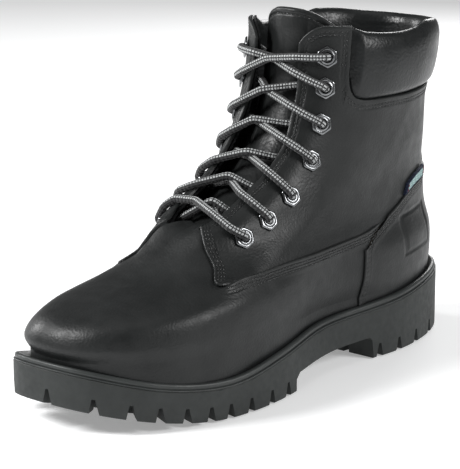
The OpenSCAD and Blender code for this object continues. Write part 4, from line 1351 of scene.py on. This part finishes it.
def facing(direction, normals, route):
    """Side vector at each point of a route. Its third axis points along the normals wherever it can, and it
    turns smoothly in between, where the route runs straight in or out."""
    first = unit(np.cross(direction[0], normals[0] + 0.01))
    carried = []
    for t in direction:
        first = unit(first - (first @ t) * t)
        carried.append(first)
    carried = np.array(carried)
    other = np.cross(direction, carried)
    wanted = np.cross(direction, normals)
    size = np.linalg.norm(wanted, axis=1)
    angle = np.arctan2((wanted * other).sum(1), (wanted * carried).sum(1))
    known = np.flatnonzero(size > 0.55)
    turned = np.interp(np.arange(len(route)), known, np.unwrap(angle[known]))
    reach = 9
    turned = np.convolve(np.pad(turned, reach, "edge"), np.full(2 * reach + 1, 1 / (2 * reach + 1)), "valid")
    return np.cos(turned)[:, None] * carried + np.sin(turned)[:, None] * other


def braid_tube(name, route, normals, diameter, slot="lace", sides=20, **options):
    """Braided lace along a route. Its pattern keeps one face outwards, along the normals."""
    n = len(route)
    direction = unit(np.gradient(route, axis=0))
    side = facing(direction, normals, route)
    out = np.cross(side, direction)
    w = np.linspace(0, 2 * pi, sides + 1)
    length = np.concatenate([[0], np.cumsum(np.linalg.norm(np.diff(route, axis=0), axis=1))])
    turn = length[:, None] / BRAID_PITCH * 2 * pi
    relief = 1 + 0.035 * np.sin(6 * w + turn) * np.sin(6 * w - turn)
    taper = 1 - 0.4 * np.exp(-np.minimum(length, length[-1] - length) / 0.6)[:, None]
    r = diameter / 2 * relief * taper
    outwards = np.cos(w)[:, None] * side[:, None] + np.sin(w)[:, None] * out[:, None]
    rings = route[:, None] + r[..., None] * outwards
    m = sides + 1
    faces = quads(n, m)
    vertices = rings.reshape(-1, 3)
    uv = np.stack(np.broadcast_arrays(w / (2 * pi), length[:, None] / BRAID_PITCH), -1).reshape(-1, 2)
    faces = [face[::-1] for face in faces] + [list(range(sides))[::-1],
                                              [(n - 1) * m + k for k in range(sides)]]
    faces = [[v - sides if (v + 1) % m == 0 else v for v in face] for face in faces]
    piece = add_piece(name, vertices, faces, BRAID, slot, uv=uv, sharp=80, **options)
    close_seam(piece.data, m, sides)
    return piece


def close_seam(mesh, m, sides):
    """Drops the unused last point of each ring, and runs the pattern to 1 where the faces close."""
    layer = mesh.uv_layers["UVMap"].data
    for face in mesh.polygons:
        loops = list(face.loop_indices)
        us = [layer[k].uv[0] for k in loops]
        if max(us) - min(us) > 0.5 and len(loops) == 4:
            for k in loops:
                if layer[k].uv[0] < 0.5:
                    layer[k].uv[0] += 1
    work = bmesh.new()
    work.from_mesh(mesh)
    bmesh.ops.delete(work, geom=[v for v in work.verts if not v.link_faces], context="VERTS")
    bmesh.ops.recalc_face_normals(work, faces=work.faces)
    work.to_mesh(mesh)
    work.free()


def lace():
    low = [eyelet_point(-1, 6, OVER_FLANGE)] + [flap_spot(1, a, h, OVER_FLAP) for a, h in BAR]
    low.append(eyelet_point(1, 6, OVER_FLANGE))
    spots = half_lace(-1)[::-1] + low + half_lace(1)
    route = rounded_route([p for p, _ in spots], 0.5, 4)
    corners = np.array([p for p, _ in spots])
    s = np.concatenate([[0], np.cumsum(np.linalg.norm(np.diff(corners, axis=0), axis=1))])
    at = np.linspace(0, s[-1], len(route))
    normals = unit(np.stack([np.interp(at, s, column) for column in np.array([n for _, n in spots]).T], -1))
    braid_tube("lace_braid", route, normals, LACE_D, stands_for=["lace"])


TAIL = [[25.5, 32.5, 176], [28, 35.5, 176], [30, 39, 175], [31.5, 43.5, 173], [32.5, 49, 169],
        [33, 55, 164], [33, 61, 157], [32, 66, 149], [31, 70, 140], [29, 73, 131], [27, 75, 122],
        [25, 76, 113], [24, 77, 104], [24, 77, 96]]
AGLET_L, AGLET_R = 22, 1.9


def lace_tails():
    """The lace's loose ends, tucked down inside the shaft."""
    for side, name in ((1, "lateral"), (-1, "medial")):
        points = np.array(TAIL, float)
        if side < 0:
            points[:, 0] = 2 * X_SHIFT - points[:, 0]
        route, _ = resampled(smooth_rows(points, np.linspace(0, len(points) - 1, 400)), 0.5)
        end = route[-1]
        section = [(0.0, 0.0), (1.5, 0.0), (1.85, -0.4), (AGLET_R, -1), (AGLET_R, -1.6), (1.75, -1.9),
                   (AGLET_R, -2.2), (AGLET_R, -AGLET_L + 1.2), (1.6, -AGLET_L + 0.3), (0.0, -AGLET_L)]
        w = np.linspace(0, 2 * pi, 25)[:-1]
        rings = [end + np.stack([max(r, 0.02) * np.cos(w), max(r, 0.02) * np.sin(w), z + 0 * w], -1)
                 for r, z in section[::-1]]
        tip = loop_solid("aglet_" + name + "_tip", np.array(rings), TIP, "aglet",
                         stands_for=["aglet_" + name], sharp=40)
        normals = np.tile([0.0, 1.0, 0.2], (len(route), 1))
        piece = braid_tube("lace_end_" + name, route, normals, LACE_D, stands_for=["lace_tail_" + name])


def finish_cad_nodes():
    """Materials of the hidden pieces whose CAD shape stays."""
    for node, material in (("midsole", MIDSOLE), ("heel_cushion", GEL), ("shank", STEEL),
                           ("insole_board", BOARD), ("steel_toe_cap", STEEL), ("heel_counter", BOARD),
                           ("eyelet_washers_lateral", GUNMETAL), ("eyelet_washers_medial", GUNMETAL)):
        for slot in NODES[node].material_slots:
            slot.material = material


# ---- studio ----


def studio():
    s = Shader("studio floor", Roughness=0.85, Specular_IOR_Level=0.2, Emission_Strength=0.3)
    s.bsdf.inputs["Emission Color"].default_value = (1, 1, 1, 1)
    s.colour(s.blend(s.noise(3, 2), (0.86, 0.865, 0.87), (0.9, 0.905, 0.91)))
    mesh = bpy.data.meshes.new("floor")
    mesh.from_pydata([(-9, -9, 0), (9, -9, 0), (9, 9, 0), (-9, 9, 0)], [], [(0, 1, 2, 3)])
    mesh.materials.append(s.material)
    floor = bpy.data.objects.new("floor", mesh)
    floor.location = (0, 0, -0.0005)
    bpy.context.collection.objects.link(floor)
    world = bpy.data.worlds.new("studio")
    world.use_nodes = True
    background = world.node_tree.nodes["Background"]
    background.inputs["Color"].default_value = (1, 1, 1, 1)
    background.inputs["Strength"].default_value = 0.12
    bpy.context.scene.world = world
    bpy.context.scene.view_settings.view_transform = "Standard"
    for name, azimuth, elevation, far, size, power in (
            ("key", -31, 38, 1.5, 0.45, 23), ("toe", -80, 20, 1.5, 0.4, 9), ("side", 109, 28, 1.5, 0.45, 13),
            ("back", 203, 22, 1.5, 0.5, 6), ("top", 60, 88, 1.6, 1.2, 3)):
        light = bpy.data.lights.new(name, "AREA")
        light.shape = "SQUARE"
        light.size = size
        light.energy = power
        lamp = bpy.data.objects.new(name, light)
        az, el = radians(azimuth), radians(elevation)
        away = Vector((sin(az) * cos(el), -cos(az) * cos(el), sin(el)))
        lamp.location = Vector((0, 0, 0.08)) + far * away
        lamp.rotation_euler = away.to_track_quat("Z", "Y").to_euler()
        bpy.context.collection.objects.link(lamp)


lace()
lace_tails()
vamp()
quarter(1, "quarter_lateral")
quarter(-1, "quarter_medial")
heel_patch()
back_strip()
collar()
side_label()
hidden_layers()
shaft_lining()
tongue()
gussets()
outsole()
welt()
footbed()
eyelets()
finish_cad_nodes()
studio()

bpy.context.view_layer.update()
